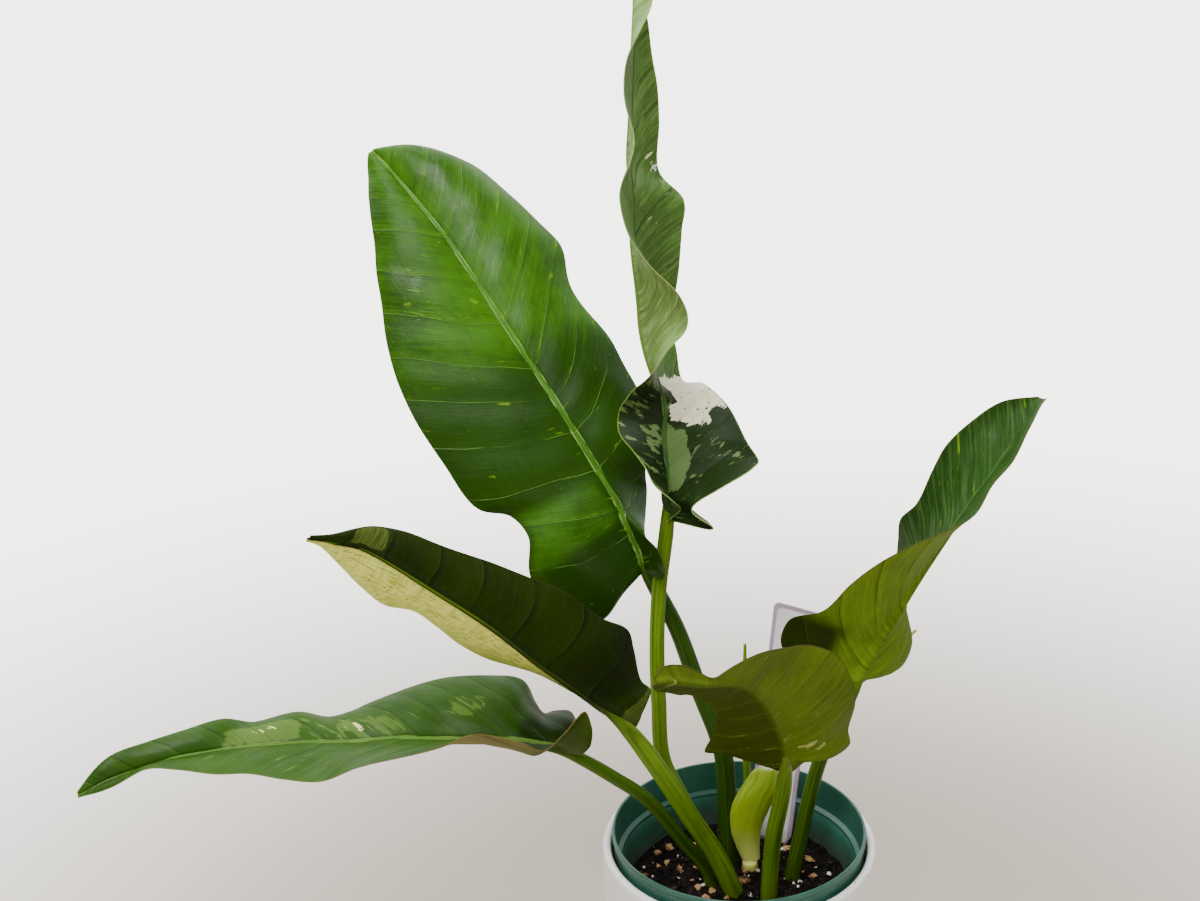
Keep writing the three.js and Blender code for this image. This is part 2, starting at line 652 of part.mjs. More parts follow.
// Named mesh of a solid, with its own material.
function piece(name, solid, color, roughness) {
  const { vertProperties, triVerts } = solid.getMesh();
  const geometry = new THREE.BufferGeometry();
  geometry.setAttribute("position", new THREE.BufferAttribute(vertProperties, 3));
  geometry.setIndex(new THREE.BufferAttribute(triVerts, 1));
  geometry.computeVertexNormals();
  const material = new THREE.MeshStandardMaterial({ color, roughness, metalness: 0 });
  const mesh = new THREE.Mesh(geometry, material);
  mesh.name = name;
  return mesh;
}

const plant = new THREE.Group();
plant.add(piece("cover_pot", coverPot(), 0xf2f0ec, 0.35));
plant.add(piece("nursery_pot", nurseryPot(), 0x1f5a47, 0.5));

let ground = soil();
for (const leaf of LEAVES) {
  ground = ground.subtract(stalkHole(leaf.stalk, leaf.radii[0] + CLEARANCE));
  const sheet = blade(leaf.stations, leaf.rows, leaf.bow, SHEET, RIB_FOOT, RIB_TIP);
  plant.add(piece(leaf.name, outerSkin(sheet.add(stalk(leaf))), leaf.color, 0.4));
}
ground = ground
  .subtract(stalkHole(SPIKE, SPIKE_RADII[0] + CLEARANCE))
  .subtract(stalkHole(STRAW, STRAW_RADIUS + CLEARANCE))
  .subtract(stalkHole(SHEATH_STUB, SHEATH_STUB_RADIUS + 0.6 + CLEARANCE))
  .subtract(label(CLEARANCE));
plant.add(piece("soil", ground, 0x1c1613, 0.95));
plant.add(piece("new_leaf_spike", tube(rooted(SPIKE), SPIKE_RADII, STALK_SIDES, 16), 0x6f8f2a, 0.45));
plant.add(piece("dried_sheath", tube(rooted(STRAW), [1.7, STRAW_RADIUS, 1.2], 8, 18), 0xc9ad6a, 0.8));
plant.add(piece("pale_sheath", sheath(), 0x9fb32f, 0.5));
plant.add(piece("plant_label", label(), 0xc9bfd0, 0.5));

export default plant;
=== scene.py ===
import math

import bpy
import numpy as np
from bpy.props import FloatProperty, FloatVectorProperty, IntProperty, PointerProperty
from mathutils import Matrix, Vector


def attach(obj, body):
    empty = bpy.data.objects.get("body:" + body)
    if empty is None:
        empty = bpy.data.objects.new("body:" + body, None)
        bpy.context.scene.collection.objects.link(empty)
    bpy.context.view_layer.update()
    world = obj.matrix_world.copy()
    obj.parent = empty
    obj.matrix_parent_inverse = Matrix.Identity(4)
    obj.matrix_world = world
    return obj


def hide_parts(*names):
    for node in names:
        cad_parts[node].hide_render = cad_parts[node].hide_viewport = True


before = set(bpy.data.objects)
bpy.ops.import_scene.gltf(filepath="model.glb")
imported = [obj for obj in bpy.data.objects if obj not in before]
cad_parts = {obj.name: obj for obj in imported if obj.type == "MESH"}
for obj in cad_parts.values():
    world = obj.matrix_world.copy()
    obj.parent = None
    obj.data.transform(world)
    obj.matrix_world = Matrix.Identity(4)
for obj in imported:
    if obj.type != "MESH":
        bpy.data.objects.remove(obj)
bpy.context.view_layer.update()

bl_info = {
    "name": "Potted philodendron",
    "version": (1, 0, 0),
    "blender": (4, 5, 0),
    "location": "View3D > Sidebar > Plant",
    "description": "Builds a potted philodendron's leaves, pots, soil and label on its frame",
    "category": "Object",
}

MM = 0.001

# Leaf stations from the foot to the tip in mm: the rib, then the left and the right margin as
# steps from the rib. Left and right are as seen on the upper side with the tip up.
BROAD_LEAF = [
    [[-53, 18, 314], [-1, -1, -5], [2, -2, -3]],
    [[-54, 18, 318], [-11, -2, -21], [11, -23, -3]],
    [[-55, 19, 323], [-21, -3, -41], [14, -27, -3]],
    [[-58, 20, 331], [-38, -8, -43], [14, -28, 0]],
    [[-62, 22, 341], [-54, -14, -31], [11, -20, -2]],
    [[-67, 24, 354], [-51, -12, -16], [17, 10, -13]],
    [[-74, 27, 366], [-53, -9, -19], [25, 19, -15]],
    [[-82, 31, 380], [-63, -17, -26], [33, 7, -10]],
    [[-94, 36, 400], [-69, -16, -21], [48, 16, -8]],
    [[-108, 44, 422], [-76, -12, -7], [44, 28, 7]],
    [[-127, 54, 451], [-66, -10, -7], [39, 30, 11]],
    [[-144, 64, 477], [-53, -6, -2], [49, 32, 11]],
    [[-161, 75, 501], [-39, -1, 0], [44, 29, 9]],
    [[-179, 87, 522], [-24, 3, -1], [33, 25, 12]],
    [[-193, 97, 537], [-11, 2, -3], [18, 13, 7]],
    [[-202, 103, 545], [-0.8, -0.3, -0.7], [0.9, 0.8, 0.5]],
]
TALL_LEAF = [
    [[-37, 8, 348], [-2, -3, -2], [2, -3, -2]],
    [[-37, 8, 353], [5, -22, 9], [22, -30, 0]],
    [[-38, 8, 359], [2, -28, 9], [12, -30, 4]],
    [[-38, 8, 368], [-7, -27, 8], [26, -28, 6]],
    [[-38, 8, 379], [-13, -16, 5], [46, -20, 4]],
    [[-39, 8, 389], [-19, -6, 2], [51, -14, -4]],
    [[-39, 8, 400], [-25, 2, -2], [45, -6, -6]],
    [[-38, 8, 409], [-26, 6, 0], [36, 6, 0]],
    [[-39, 9, 418], [-19, -9, 5], [25, 17, 1]],
    [[-42, 10, 429], [-5, -40, 15], [15, 34, -11]],
    [[-46, 11, 442], [8, -47, 16], [17, 41, -10]],
    [[-49, 12, 458], [20, -46, 11], [16, 40, -9]],
    [[-50, 12, 476], [18, -50, 12], [21, 30, -4]],
    [[-52, 11, 495], [5, -53, 11], [25, 23, -3]],
    [[-53, 10, 513], [-5, -54, 11], [27, 20, -5]],
    [[-53, 9, 531], [-8, -51, 9], [28, 17, -7]],
    [[-54, 8, 548], [-1, -46, 8], [16, 26, -9]],
    [[-53, 8, 565], [0, -42, 4], [16, 22, 0]],
    [[-52, 9, 582], [-5, -37, 6], [14, 19, 2]],
    [[-51, 10, 599], [-4, -32, 4], [11, 16, 0]],
    [[-50, 11, 615], [2, -25, 3], [8, 13, 0]],
    [[-49, 12, 630], [8, -14, 1], [5, 12, -2]],
    [[-48, 14, 644], [8, -6, 1], [3, 8, 0]],
    [[-45, 16, 657], [-0.9, -0.9, 0.4], [0.9, 0.9, -0.4]],
]
PALE_LEAF = [
    [[-62, -30, 235], [2, 3, 0], [1, 3, -3]],
    [[-65, -31, 238], [12, 17, 6], [8, 19, -3]],
    [[-69, -33, 244], [18, 23, 4], [4, 31, -9]],
    [[-77, -37, 252], [21, 29, 1], [0, 37, -15]],
    [[-87, -43, 264], [28, 33, 9], [-2, 43, -20]],
    [[-99, -50, 278], [36, 36, 11], [-3, 44, -23]],
    [[-111, -57, 292], [34, 37, 7], [-4, 43, -27]],
    [[-122, -64, 306], [26, 34, 14], [-7, 42, -32]],
    [[-133, -71, 320], [16, 33, 14], [-10, 39, -35]],
    [[-146, -79, 335], [12, 31, 12], [-10, 37, -36]],
    [[-157, -86, 347], [8, 28, 11], [-9, 36, -34]],
    [[-169, -95, 361], [8, 27, 7], [-7, 33, -33]],
    [[-180, -104, 374], [5, 24, 7], [-9, 28, -35]],
    [[-192, -114, 387], [5, 20, 3], [-6, 22, -30]],
    [[-202, -123, 394], [6, 11, 3], [-4, 15, -16]],
    [[-209, -130, 399], [3, 4, 1], [-2, 6, -5]],
    [[-215, -137, 403], [1, 1, 1], [-1, 0, -1]],
]
LOW_LEAF = [
    [[-95, -30, 221], [2, -3, 1], [2, 3, 0]],
    [[-98, -31, 223], [12, -17, 13], [4, 25, 0]],
    [[-102, -31, 225], [17, -25, 27], [4, 35, 3]],
    [[-108, -32, 227], [19, -28, 37], [1, 40, -1]],
    [[-115, -33, 229], [15, -35, 26], [1, 41, -4]],
    [[-125, -34, 232], [15, -40, 16], [7, 44, 0]],
    [[-139, -35, 234], [15, -45, 23], [15, 43, 13]],
    [[-158, -37, 236], [11, -47, 29], [15, 43, 17]],
    [[-177, -39, 238], [12, -49, 23], [12, 41, 17]],
    [[-195, -42, 241], [10, -48, 16], [7, 40, 10]],
    [[-217, -46, 242], [8, -44, 9], [8, 38, 5]],
    [[-238, -50, 245], [8, -38, -2], [6, 34, -4]],
    [[-258, -54, 247], [8, -34, -2], [7, 32, 2]],
    [[-277, -58, 248], [8, -26, -1], [3, 26, 0]],
    [[-295, -62, 248], [7, -20, -2], [6, 18, 10]],
    [[-313, -66, 247], [6, -14, 1], [5, 12, 11]],
    [[-329, -70, 244], [5, -8, 5], [2, 8, 12]],
    [[-345, -75, 241], [3, -4, -2], [0, 5, 11]],
    [[-364, -82, 234], [0.3, -1, 0.3], [-0.3, 0.9, 0.2]],
]
FRONT_LEAF = [
    [[25, -35, 207], [2, 2, -3], [-2, 2, -3]],
    [[25, -37, 212], [12, 15, -4], [-8, 11, -8]],
    [[23, -40, 220], [37, 16, -6], [-21, 16, -11]],
    [[21, -46, 232], [39, 16, -2], [-36, 16, -14]],
    [[17, -55, 246], [45, 15, 4], [-39, 15, -21]],
    [[12, -67, 262], [46, 17, 9], [-31, 11, -19]],
    [[6, -81, 278], [41, 19, 16], [-24, 3, -10]],
    [[-3, -96, 294], [30, 16, 15], [-19, -2, -9]],
    [[-12, -110, 304], [18, 6, 14], [-16, -3, -6]],
    [[-20, -121, 310], [9, 3, 9], [-15, -3, -5]],
    [[-27, -131, 315], [4, 4, 2], [-13, -3, -3]],
    [[-34, -139, 320], [2, 3, 6], [-11, -3, -2]],
    [[-41, -146, 325], [0, 2, 9], [-9, -2, -3]],
    [[-48, -152, 329], [-1, 2, 7], [-5, -1, -4]],
    [[-54, -157, 331], [0.4, 0.2, 1], [-0.4, 0, -1]],
]
TURNED_LEAF = [
    [[69, 10, 233], [1, 2, -3], [-3, -1, -1]],
    [[71, 10, 238], [8, 12, -4], [-14, -6, 4]],
    [[73, 10, 242], [20, 24, -11], [-35, -10, 12]],
    [[76, 10, 249], [30, 34, -18], [-51, -12, 22]],
    [[81, 11, 257], [31, 39, -17], [-52, -15, 29]],
    [[87, 12, 268], [23, 44, -12], [-39, -20, 25]],
    [[94, 13, 280], [12, 47, -9], [-32, -27, 32]],
    [[102, 14, 294], [0, 46, -5], [-25, -36, 34]],
    [[111, 16, 308], [-9, 40, 0], [-16, -44, 33]],
    [[121, 18, 323], [-19, 32, 1], [-9, -48, 26]],
    [[131, 20, 338], [-21, 24, -2], [-5, -46, 18]],
    [[141, 22, 352], [-23, 20, 5], [-4, -42, 18]],
    [[152, 24, 367], [-26, 18, 6], [-2, -36, 13]],
    [[162, 27, 381], [-22, 15, 6], [-2, -29, 14]],
    [[171, 30, 393], [-14, 10, 6], [-1, -16, 9]],
    [[179, 33, 403], [-1, 1, 0], [1, -1, 0]],
]
SHEATH = [
    [[8, 8, 120], [-5, 3, -1], [6, 3, -2]],
    [[6, 6, 130], [-6, 7, -4], [8, 7, -5]],
    [[4, 3, 145], [-7, 9, -6], [11, 9, -6]],
    [[7, 1, 160], [-10, 10, -7], [13, 10, -6]],
    [[11, 0, 170], [-11, 10, -7], [13, 10, -6]],
    [[16, 0, 179], [-10, 8, -4], [11, 8, -6]],
    [[18, 1, 185], [-7, 4, -1], [6, 4, -3]],
    [[19, 2, 187], [-3, 2, 0], [3, 2, 0]],
]

# Where the stalks leave the soil, and how far below its level they start.
SOIL_Z = 108
ROOTED_Z = 96

# Each leaf: stations, how far each half bows at the foot and at the tip, stalk route and radii,
# and veins: their spacing, lean on each half and bend. Marks are boxes: from and to as shares of
# the length, from and to across from -1 at the left margin to 1 at the right, how soft the sides
# are, and how strongly the mark covers. In the cream and sage boxes these colours come up, the
# deep ones are painted shade that darkens the green where the leaf lies in shade, and the
# mottled ones have sage mottles within a shaded one.
LEAVES = {
    "leaf_broad_upper_left": dict(
        stations=BROAD_LEAF, bow=[[-4, -8], [3, -13]], radii=[6.6, 4.6], veins=[29, 0.2, 1.0, 1.5],
        rib_band=[2.5, 0.5], reach=0.995, sink=1.05,
        stalk=[[-4, 20, ROOTED_Z], [-5, 19, 150], [-8, 16, 192], [-21, 17, 232], [-36, 19, 278],
               [-50, 18.5, 308]],
        sage=[[0.62, 0.69, -0.85, -0.1, 0.03, 0.34], [0.17, 0.27, -0.95, -0.1, 0.02, 0.38]],
        # Painted shade: the lower half and the foot darker, where less light falls on them.
        deep=[[-0.1, 0.56, -1.5, 1.5, 0.07, 0.6], [-0.1, 0.2, -1.5, 1.5, 0.06, 0.74]],
    ),
    "leaf_tall_twisted": dict(
        stations=TALL_LEAF, bow=[[0, 0], [4, 7]], radii=[4.8, 4.3], veins=[24, 0.6, 0.9, 1.0],
        rib_band=[1.6, 0.6], rib_size=0.45, sink=1.0,
        stalk=[[-10, 9, ROOTED_Z], [-24, 4, 145], [-35, 2, 172], [-43, 2, 191], [-46, 3, 234],
               [-46, 5, 273], [-43, 10, 310], [-39, 9, 334]],
        # Painted shade: the lower part of both halves darker, where it lies in shade.
        deep=[[-0.1, 0.37, -1.5, 0.02, 0.02, 1.0], [-0.1, 0.37, -0.02, 1.5, 0.02, 0.7]],
        mottled=[[0.1, 0.38, -1.2, -0.1, 0.03, 0.13], [0.17, 0.26, 0.5, 1.2, 0.02, 0.16],
                 [0.1, 0.236, 0.0, 0.24, 0.012, 0.6]],
        cream=[[0.232, 0.28, 0.06, 0.66, 0.02, 0.9], [0.25, 0.37, 0.26, 0.72, 0.02, 1.0],
               [0.258, 0.37, 0.5, 1.0, 0.02, 1.0], [0.272, 0.37, 0.86, 1.5, 0.02, 0.9],
               [0.2, 0.26, 0.7, 1.3, 0.012, 0.3],
               [0.69, 0.73, 0.7, 1.4, 0.01, 0.4], [0.6, 0.63, 0.3, 0.6, 0.01, 0.4]],
        sage=[[0.5, 0.9, -0.6, 1.0, 0.05, 0.1]],
    ),
    "leaf_half_pale": dict(
        stations=PALE_LEAF, bow=[[5, 6], [3, 5]], radii=[6.2, 5.4], veins=[34, 0.0, 0.3, 6.0],
        rib_size=0.32,
        stalk=[[1, -10, ROOTED_Z], [-15, -13, 138], [-31, -18, 170], [-54, -27, 222]],
        cream=[[0.13, 1.2, 0.02, 1.6, 0.004, 1.3]],
        sage=[[0.79, 0.885, -0.9, -0.08, 0.035, 0.85], [0.3, 0.62, -0.85, -0.2, 0.05, 0.12],
              [-0.1, 0.1, -1.5, 0.2, 0.04, 0.75]],
        # Painted shade: the foot of the left half darker, where it lies in shade.
        deep=[[0.12, 0.3, -1.5, 0.0, 0.05, 0.4]],
    ),
    "leaf_low_left": dict(
        stations=LOW_LEAF, bow=[[7, -7], [-6, -6]], radii=[4.4, 3.8], veins=[27, 1.4, 1.5, 1.0],
        rib_band=[1.6, 0.6], rib_size=0.45, sink=1.0,
        stalk=[[-13, -1, ROOTED_Z], [-20, -4, 122], [-33, -9, 144], [-59, -20, 186],
               [-81, -27, 210]],
        cream=[[0.61, 0.70, 0.12, 0.42, 0.03, 0.5], [0.46, 0.54, 0.1, 0.34, 0.03, 0.42]],
        sage=[[0.6, 0.735, 0.04, 0.52, 0.02, 0.62], [0.28, 0.35, 0.25, 0.6, 0.03, 0.4],
              [0.14, 0.2, 0.3, 0.6, 0.02, 0.3], [0.42, 0.57, 0.02, 0.42, 0.05, 0.4],
              [0.3, 0.8, -0.9, -0.1, 0.08, 0.1]],
        # Painted shade: the foot darker, where it lies in shade.
        deep=[[-0.1, 0.19, -1.5, 1.5, 0.03, 1.0]],
    ),
    "leaf_front_folded": dict(
        stations=FRONT_LEAF, bow=[[8, -6], [6, 0]], radii=[5.2, 4.8], veins=[26, 0.5, 0.5, 2.0],
        rib_size=0.3,
        stalk=[[16, -17, ROOTED_Z], [17.5, -20, 134], [19, -26, 162], [23, -31, 185]],
        cream=[[0.15, 0.21, -0.62, -0.14, 0.02, 0.6]],
        sage=[[0.2, 0.5, -0.8, -0.1, 0.05, 0.1]],
    ),
    "leaf_right_turned": dict(
        stations=TURNED_LEAF, bow=[[5, 5], [6, -2]], radii=[4.9, 4.2], veins=[27, 1.6, 0.7, 2.0],
        rib_band=[2.2, 0.7], rib_size=0.32,
        stalk=[[31, 5, ROOTED_Z], [38, 6, 133], [53, 8, 196], [61.5, 9, 219]],
        # Painted light: the sage box paints the left half's lobe at the foot a brighter green,
        # where it is lit.
        sage=[[-0.1, 0.36, -1.5, -0.06, 0.02, 1.4]],
        # Painted shade: the lobe of the right half at the foot darker, where it lies in shade.
        deep=[[-0.1, 0.25, 0.46, 1.6, 0.06, 1.0]],
    ),
}
SPIKE = [[9, 21, ROOTED_Z], [8, 20, 154], [7, 19, 180], [6, 18, 224], [6, 16, 262]]
SPIKE_RADII = [2.6, 2.5, 2.4, 2.0, 0.9]
STRAW = [[33, 16, ROOTED_Z], [40, 17, 133], [55, 20, 196], [74, 24, 229], [116, 62, 244]]
STRAW_RADII = [1.7, 1.5, 1.2]
SHEATH_STUB = [[8, 10, ROOTED_Z], [8, 10, 106], [8, 10.5, 116]]

# Pots and label, in mm.
COVER_RADIUS = 82
COVER_HEIGHT = 140
COVER_WALL = 5
COVER_FLOOR = 7
COVER_FOOT_ROUND = 8
NURSERY_RIM_RADIUS = 76
NURSERY_RIM_Z = 148.5
NURSERY_BAND = 20
NURSERY_WALL = 1.6
NURSERY_STEP = 2.6
NURSERY_FOOT_RADIUS = 55
DRAIN_RING = 40
DRAIN_RADIUS = 5
CLEARANCE = 0.3
LABEL_WIDTH = 30
LABEL_HEIGHT = 170
LABEL_TAPER = 20
LABEL_FOOT_WIDTH = 12
LABEL_CORNER = 4
LABEL_FOOT = (22, 44, 96)
LABEL_LEAN_BACK = 8
LABEL_LEAN_RIGHT = 3
LABEL_TURN = -32

# The side veins' half width in m, and how strongly a mark's bias weighs against its noise.
VEIN_WIDTH = 0.00055
BIAS_WEIGHT = 0.6

# Lights in m: place and width of each, and the point that they face.
KEY_LIGHT = ((-0.32, -0.95, 1.75), 1.2)
TOP_LIGHT = ((-0.6, 0.5, 1.9), 1.5)
LIGHTS_AIM = (-0.05, 0.0, 0.35)

# Camera: its place in m, and the degrees by which it is tipped down and rolled.
CAMERA_PLACE = (-0.075, -0.829, 0.6905)
CAMERA_PITCH = 19.8
CAMERA_ROLL = 2.07
CAMERA_LENS = 48.0
CAMERA_SENSOR = 36.0


def paint(red, green, blue):
    """Linear colour of a screen colour in 0 to 255, with full alpha: each channel c is
    ((c / 255 + 0.055) / 1.055) to the power 2.4, or c / 3295 up to 10."""
    return (*(((c / 255 + 0.055) / 1.055) ** 2.4 if c > 10 else c / 3295
              for c in (red, green, blue)), 1.0)


# ---- Curves and surfaces -------------------------------------------------------------------

def smooth_curve(params, values):
    """Cubic curve through values at rising parameters: on each span the Hermite blend of the two
    end values and end slopes, where an inner slope is the mean of its spans' slopes, each
    weighted by the other span's length. Returns a function of an array of parameters."""
    params = np.asarray(params, float)
    values = np.asarray(values, float).reshape(len(params), -1)
    step = np.diff(params)
    slope = np.diff(values, axis=0) / step[:, None]
    tangent = np.vstack([slope[:1], slope[-1:]])
    if len(params) > 2:
        before, after = step[:-1, None], step[1:, None]
        inner = (after * slope[:-1] + before * slope[1:]) / (before + after)
        tangent = np.vstack([slope[:1], inner, slope[-1:]])

    def at(q):
        q = np.atleast_1d(np.asarray(q, float))
        k = np.clip(np.searchsorted(params, q, side="right") - 1, 0, len(params) - 2)
        h = step[k][:, None]
        t = ((q - params[k]) / step[k])[:, None]
        t2, t3 = t * t, t * t * t
        return (
            (2 * t3 - 3 * t2 + 1) * values[k] + (t3 - 2 * t2 + t) * h * tangent[k]
            + (3 * t2 - 2 * t3) * values[k + 1] + (t3 - t2) * h * tangent[k + 1]
        )

    return at


def unit(v):
    """Each row of v divided by its length."""
    return v / np.maximum(np.linalg.norm(v, axis=-1, keepdims=True), 1e-9)


def ease(x, low, high):
    """Smooth step of x from 0 at low to 1 at high: 3t^2 - 2t^3 of the share between them."""
    t = np.clip((np.asarray(x, float) - low) / (high - low), 0, 1)
    return t * t * (3 - 2 * t)


def ripple(x, y, seed):
    """Sum of six sine waves of x and y with seeded directions, pitches and phases, within about
    -1 to 1."""
    rng = np.random.default_rng(seed)
    turn, pitch, phase = (rng.uniform(low, high, 6)
                          for low, high in ((0, 6.283), (0.6, 1.9), (0, 6.283)))
    waves = [np.sin(p * (x * np.cos(t) + y * np.sin(t)) + f) for t, p, f in zip(turn, pitch, phase)]
    return sum(waves) / 3.2


def grid_quads(rows, cols, start=0, turned=False, wrap=False):
    """Quads of a rows by cols grid of points numbered row by row from start; wrap joins the last
    column to the first, and turned reverses every quad."""
    i = np.arange(rows - 1)[:, None]
    j = np.arange(cols if wrap else cols - 1)[None, :]
    jn = (j + 1) % cols
    quads = np.stack(
        [i * cols + j, i * cols + jn, (i + 1) * cols + jn, (i + 1) * cols + j], axis=-1
    ).reshape(-1, 4) + start
    return quads[:, ::-1] if turned else quads


def strip_quads(a, b):
    """Quads between two equally long rows of point numbers."""
    return np.stack([a[:-1], a[1:], b[1:], b[:-1]], axis=-1)


def fan(centre, ring, turned=False):
    """Triangles from one point to a closed ring of point numbers."""
    after = np.roll(ring, -1)
    tris = np.stack([np.full(len(ring), centre), ring, after], axis=-1)
    return tris[:, ::-1] if turned else tris


class Shape:
    """Points, faces, face materials and point attributes that are gathered into one mesh. A point's
    lay is its place along the surface. Its marks are the cream bias, which is below zero where
    there are mottles in a part of painted shade, the sage bias, which is below zero where painted
    shade darkens the green, and the distance from the rib in rib half widths. On a stalk the third
    mark tells how far it has run on into the rib."""

    def __init__(self):
        self.points = []
        self.faces = []
        self.slots = []
        self.lay = []
        self.marks = []
        self.count = 0

    def add_points(self, points, lay=None, marks=None):
        """Adds points with their lay in mm and their marks; returns the first one's number."""
        points = np.asarray(points, float).reshape(-1, 3)
        first = self.count
        for rows, values in ((self.points, points), (self.lay, lay), (self.marks, marks)):
            values = np.zeros_like(points) if values is None else values
            rows.append(np.asarray(values, float).reshape(-1, 3))
        self.count += len(points)
        return first

    def add_faces(self, faces, slot=0):
        """Adds rows of point numbers as faces that wear the material in slot."""
        self.faces.extend(np.asarray(faces).tolist())
        self.slots.append(np.full(len(faces), slot))

    def build(self, name, materials, crease=50):
        """Makes the mesh object in metres, smooth but for edges sharper than crease degrees."""
        mesh = bpy.data.meshes.new(name)
        points = np.concatenate(self.points) * MM
        mesh.from_pydata(points.tolist(), [], self.faces)
        for material in materials:
            mesh.materials.append(material)
        mesh.polygons.foreach_set("material_index", np.concatenate(self.slots).astype(np.int32))
        for label, rows, scale in (("lay", self.lay, MM), ("marks", self.marks, 1.0)):
            values = (np.concatenate(rows) * scale).astype(np.float32).ravel()
            mesh.attributes.new(label, "FLOAT_VECTOR", "POINT").data.foreach_set("vector", values)
        mesh.polygons.foreach_set("use_smooth", np.ones(len(mesh.polygons), bool))
        mesh.validate()
        mesh.update()
        mesh.set_sharp_from_angle(angle=math.radians(crease))
        piece = bpy.data.objects.new(name, mesh)
        bpy.context.scene.collection.objects.link(piece)
        return piece


def lengths(path):
    """Length along a path of points up to each of them."""
    return np.concatenate([[0], np.cumsum(np.linalg.norm(np.diff(path, axis=0), axis=1))])


def tube(shape, path, radii, sides, steps, slot=0, squash=1.0, ridges=0.0, twist=0.0, joint=1.0):
    """Tube round a smooth curve through path: at each step along it a ring of points at the radius
    curve's value, its across axis the part of Y square to the path. squash flattens the ring
    one way, ridges adds five lengthwise ribs, and twist turns the ring along the way.
    The lay is the ring's own x and y, and the length along the path; the third mark rises from
    0 to 1 past the joint, given as a share of the length."""
    path = np.asarray(path, float)
    params = lengths(path)
    whole = params[-1]
    q = np.linspace(0, whole, steps + 1)
    centre_at = smooth_curve(params, path)
    centre = centre_at(q)
    along = unit(centre_at(np.minimum(q + 0.5, whole)) - centre_at(np.maximum(q - 0.5, 0)))
    radius = smooth_curve(np.linspace(0, whole, len(radii)), radii)(q)
    across = np.broadcast_to([0.0, 1.0, 0.0], along.shape)
    across = unit(across - along * (across * along).sum(1, keepdims=True))
    other = np.cross(along, across)
    turn = np.linspace(0, 2 * np.pi, sides, endpoint=False) + twist * (q / whole)[:, None]
    swell = 1 + ridges * np.cos(5 * turn + 0.8) + 0.6 * ridges * np.cos(2 * turn)
    x = radius * np.cos(turn) * swell
    y = radius * np.sin(turn) * swell * squash
    points = centre[:, None] + x[..., None] * across[:, None] + y[..., None] * other[:, None]
    lay = np.stack([x, y, np.broadcast_to(q[:, None], x.shape)], axis=-1)
    into_rib = np.broadcast_to(ease(q / whole, joint, joint + 0.12)[:, None], x.shape)
    marks = np.stack([np.zeros_like(x), np.zeros_like(x), into_rib], axis=-1)
    first = shape.add_points(points, lay, marks)
    low = shape.add_points(centre[:1], [[0, 0, q[0]]])
    end = centre[-1:] + along[-1:] * radius[-1] * 0.5
    high = shape.add_points(end, [[0, 0, q[-1]]], marks[-1, :1])
    shape.add_faces(grid_quads(steps + 1, sides, first, turned=True, wrap=True), slot)
    shape.add_faces(fan(low, first + np.arange(sides)), slot)
    shape.add_faces(fan(high, first + steps * sides + np.arange(sides), turned=True), slot)


def leaf_rows(stations, rows, reach):
    """Rib, left margin and right margin at rows evenly spaced in the mean distance that the
    three of them travel, with the rib's direction. reach is the share of that length drawn."""
    table = np.asarray(stations, float)
    places = np.concatenate([table[:, :1], table[:, :1] + table[:, 1:]], axis=1)
    moved = np.linalg.norm(np.diff(places, axis=0), axis=2).mean(axis=1)
    params = np.concatenate([[0], np.cumsum(moved)])
    curve = smooth_curve(params, places.reshape(len(places), 9))
    q = np.linspace(0, params[-1] * reach, rows + 1)
    at = curve(q).reshape(-1, 3, 3)
    along = unit(curve(q + 0.2)[:, :3] - curve(q - 0.2)[:, :3])
    return q, at[:, 0], at[:, 1], at[:, 2], along


def half_sheet(rib, margin, along, side, bow, share, v):
    """Half of a leaf: the straight line from rib to margin at each row, its middle lifted by a
    parabola of the row's bow towards the underside, less on narrow rows."""
    chord = margin - rib
    width = np.linalg.norm(chord, axis=1, keepdims=True)
    normal = unit(np.cross(along, chord)) * -side
    lift = (bow[0] + (bow[1] - bow[0]) * share)[:, None] * np.minimum(1, width / 40)
    lift = lift * (4 * v * (1 - v))[None, :]
    points = rib[:, None] + chord[:, None] * v[None, :, None] - normal[:, None] * lift[..., None]
    return points, width * v[None, :]


def sectors(boxes, share, place):
    """Bias of the pale marks: each box in share and place has smooth sides and is scaled by its
    strength, and where boxes overlap the stronger one counts."""
    bias = np.zeros(np.broadcast(share, place).shape)
    for low, high, left, right, soft, strength in boxes:
        box = strength
        for value, near, far, blur in ((share, low, high, soft), (place, left, right, 3 * soft)):
            box = box * ease(value, near - blur, near + blur)
            box = box * (1 - ease(value, far - blur, far + blur))
        bias = np.maximum(bias, box)
    return bias


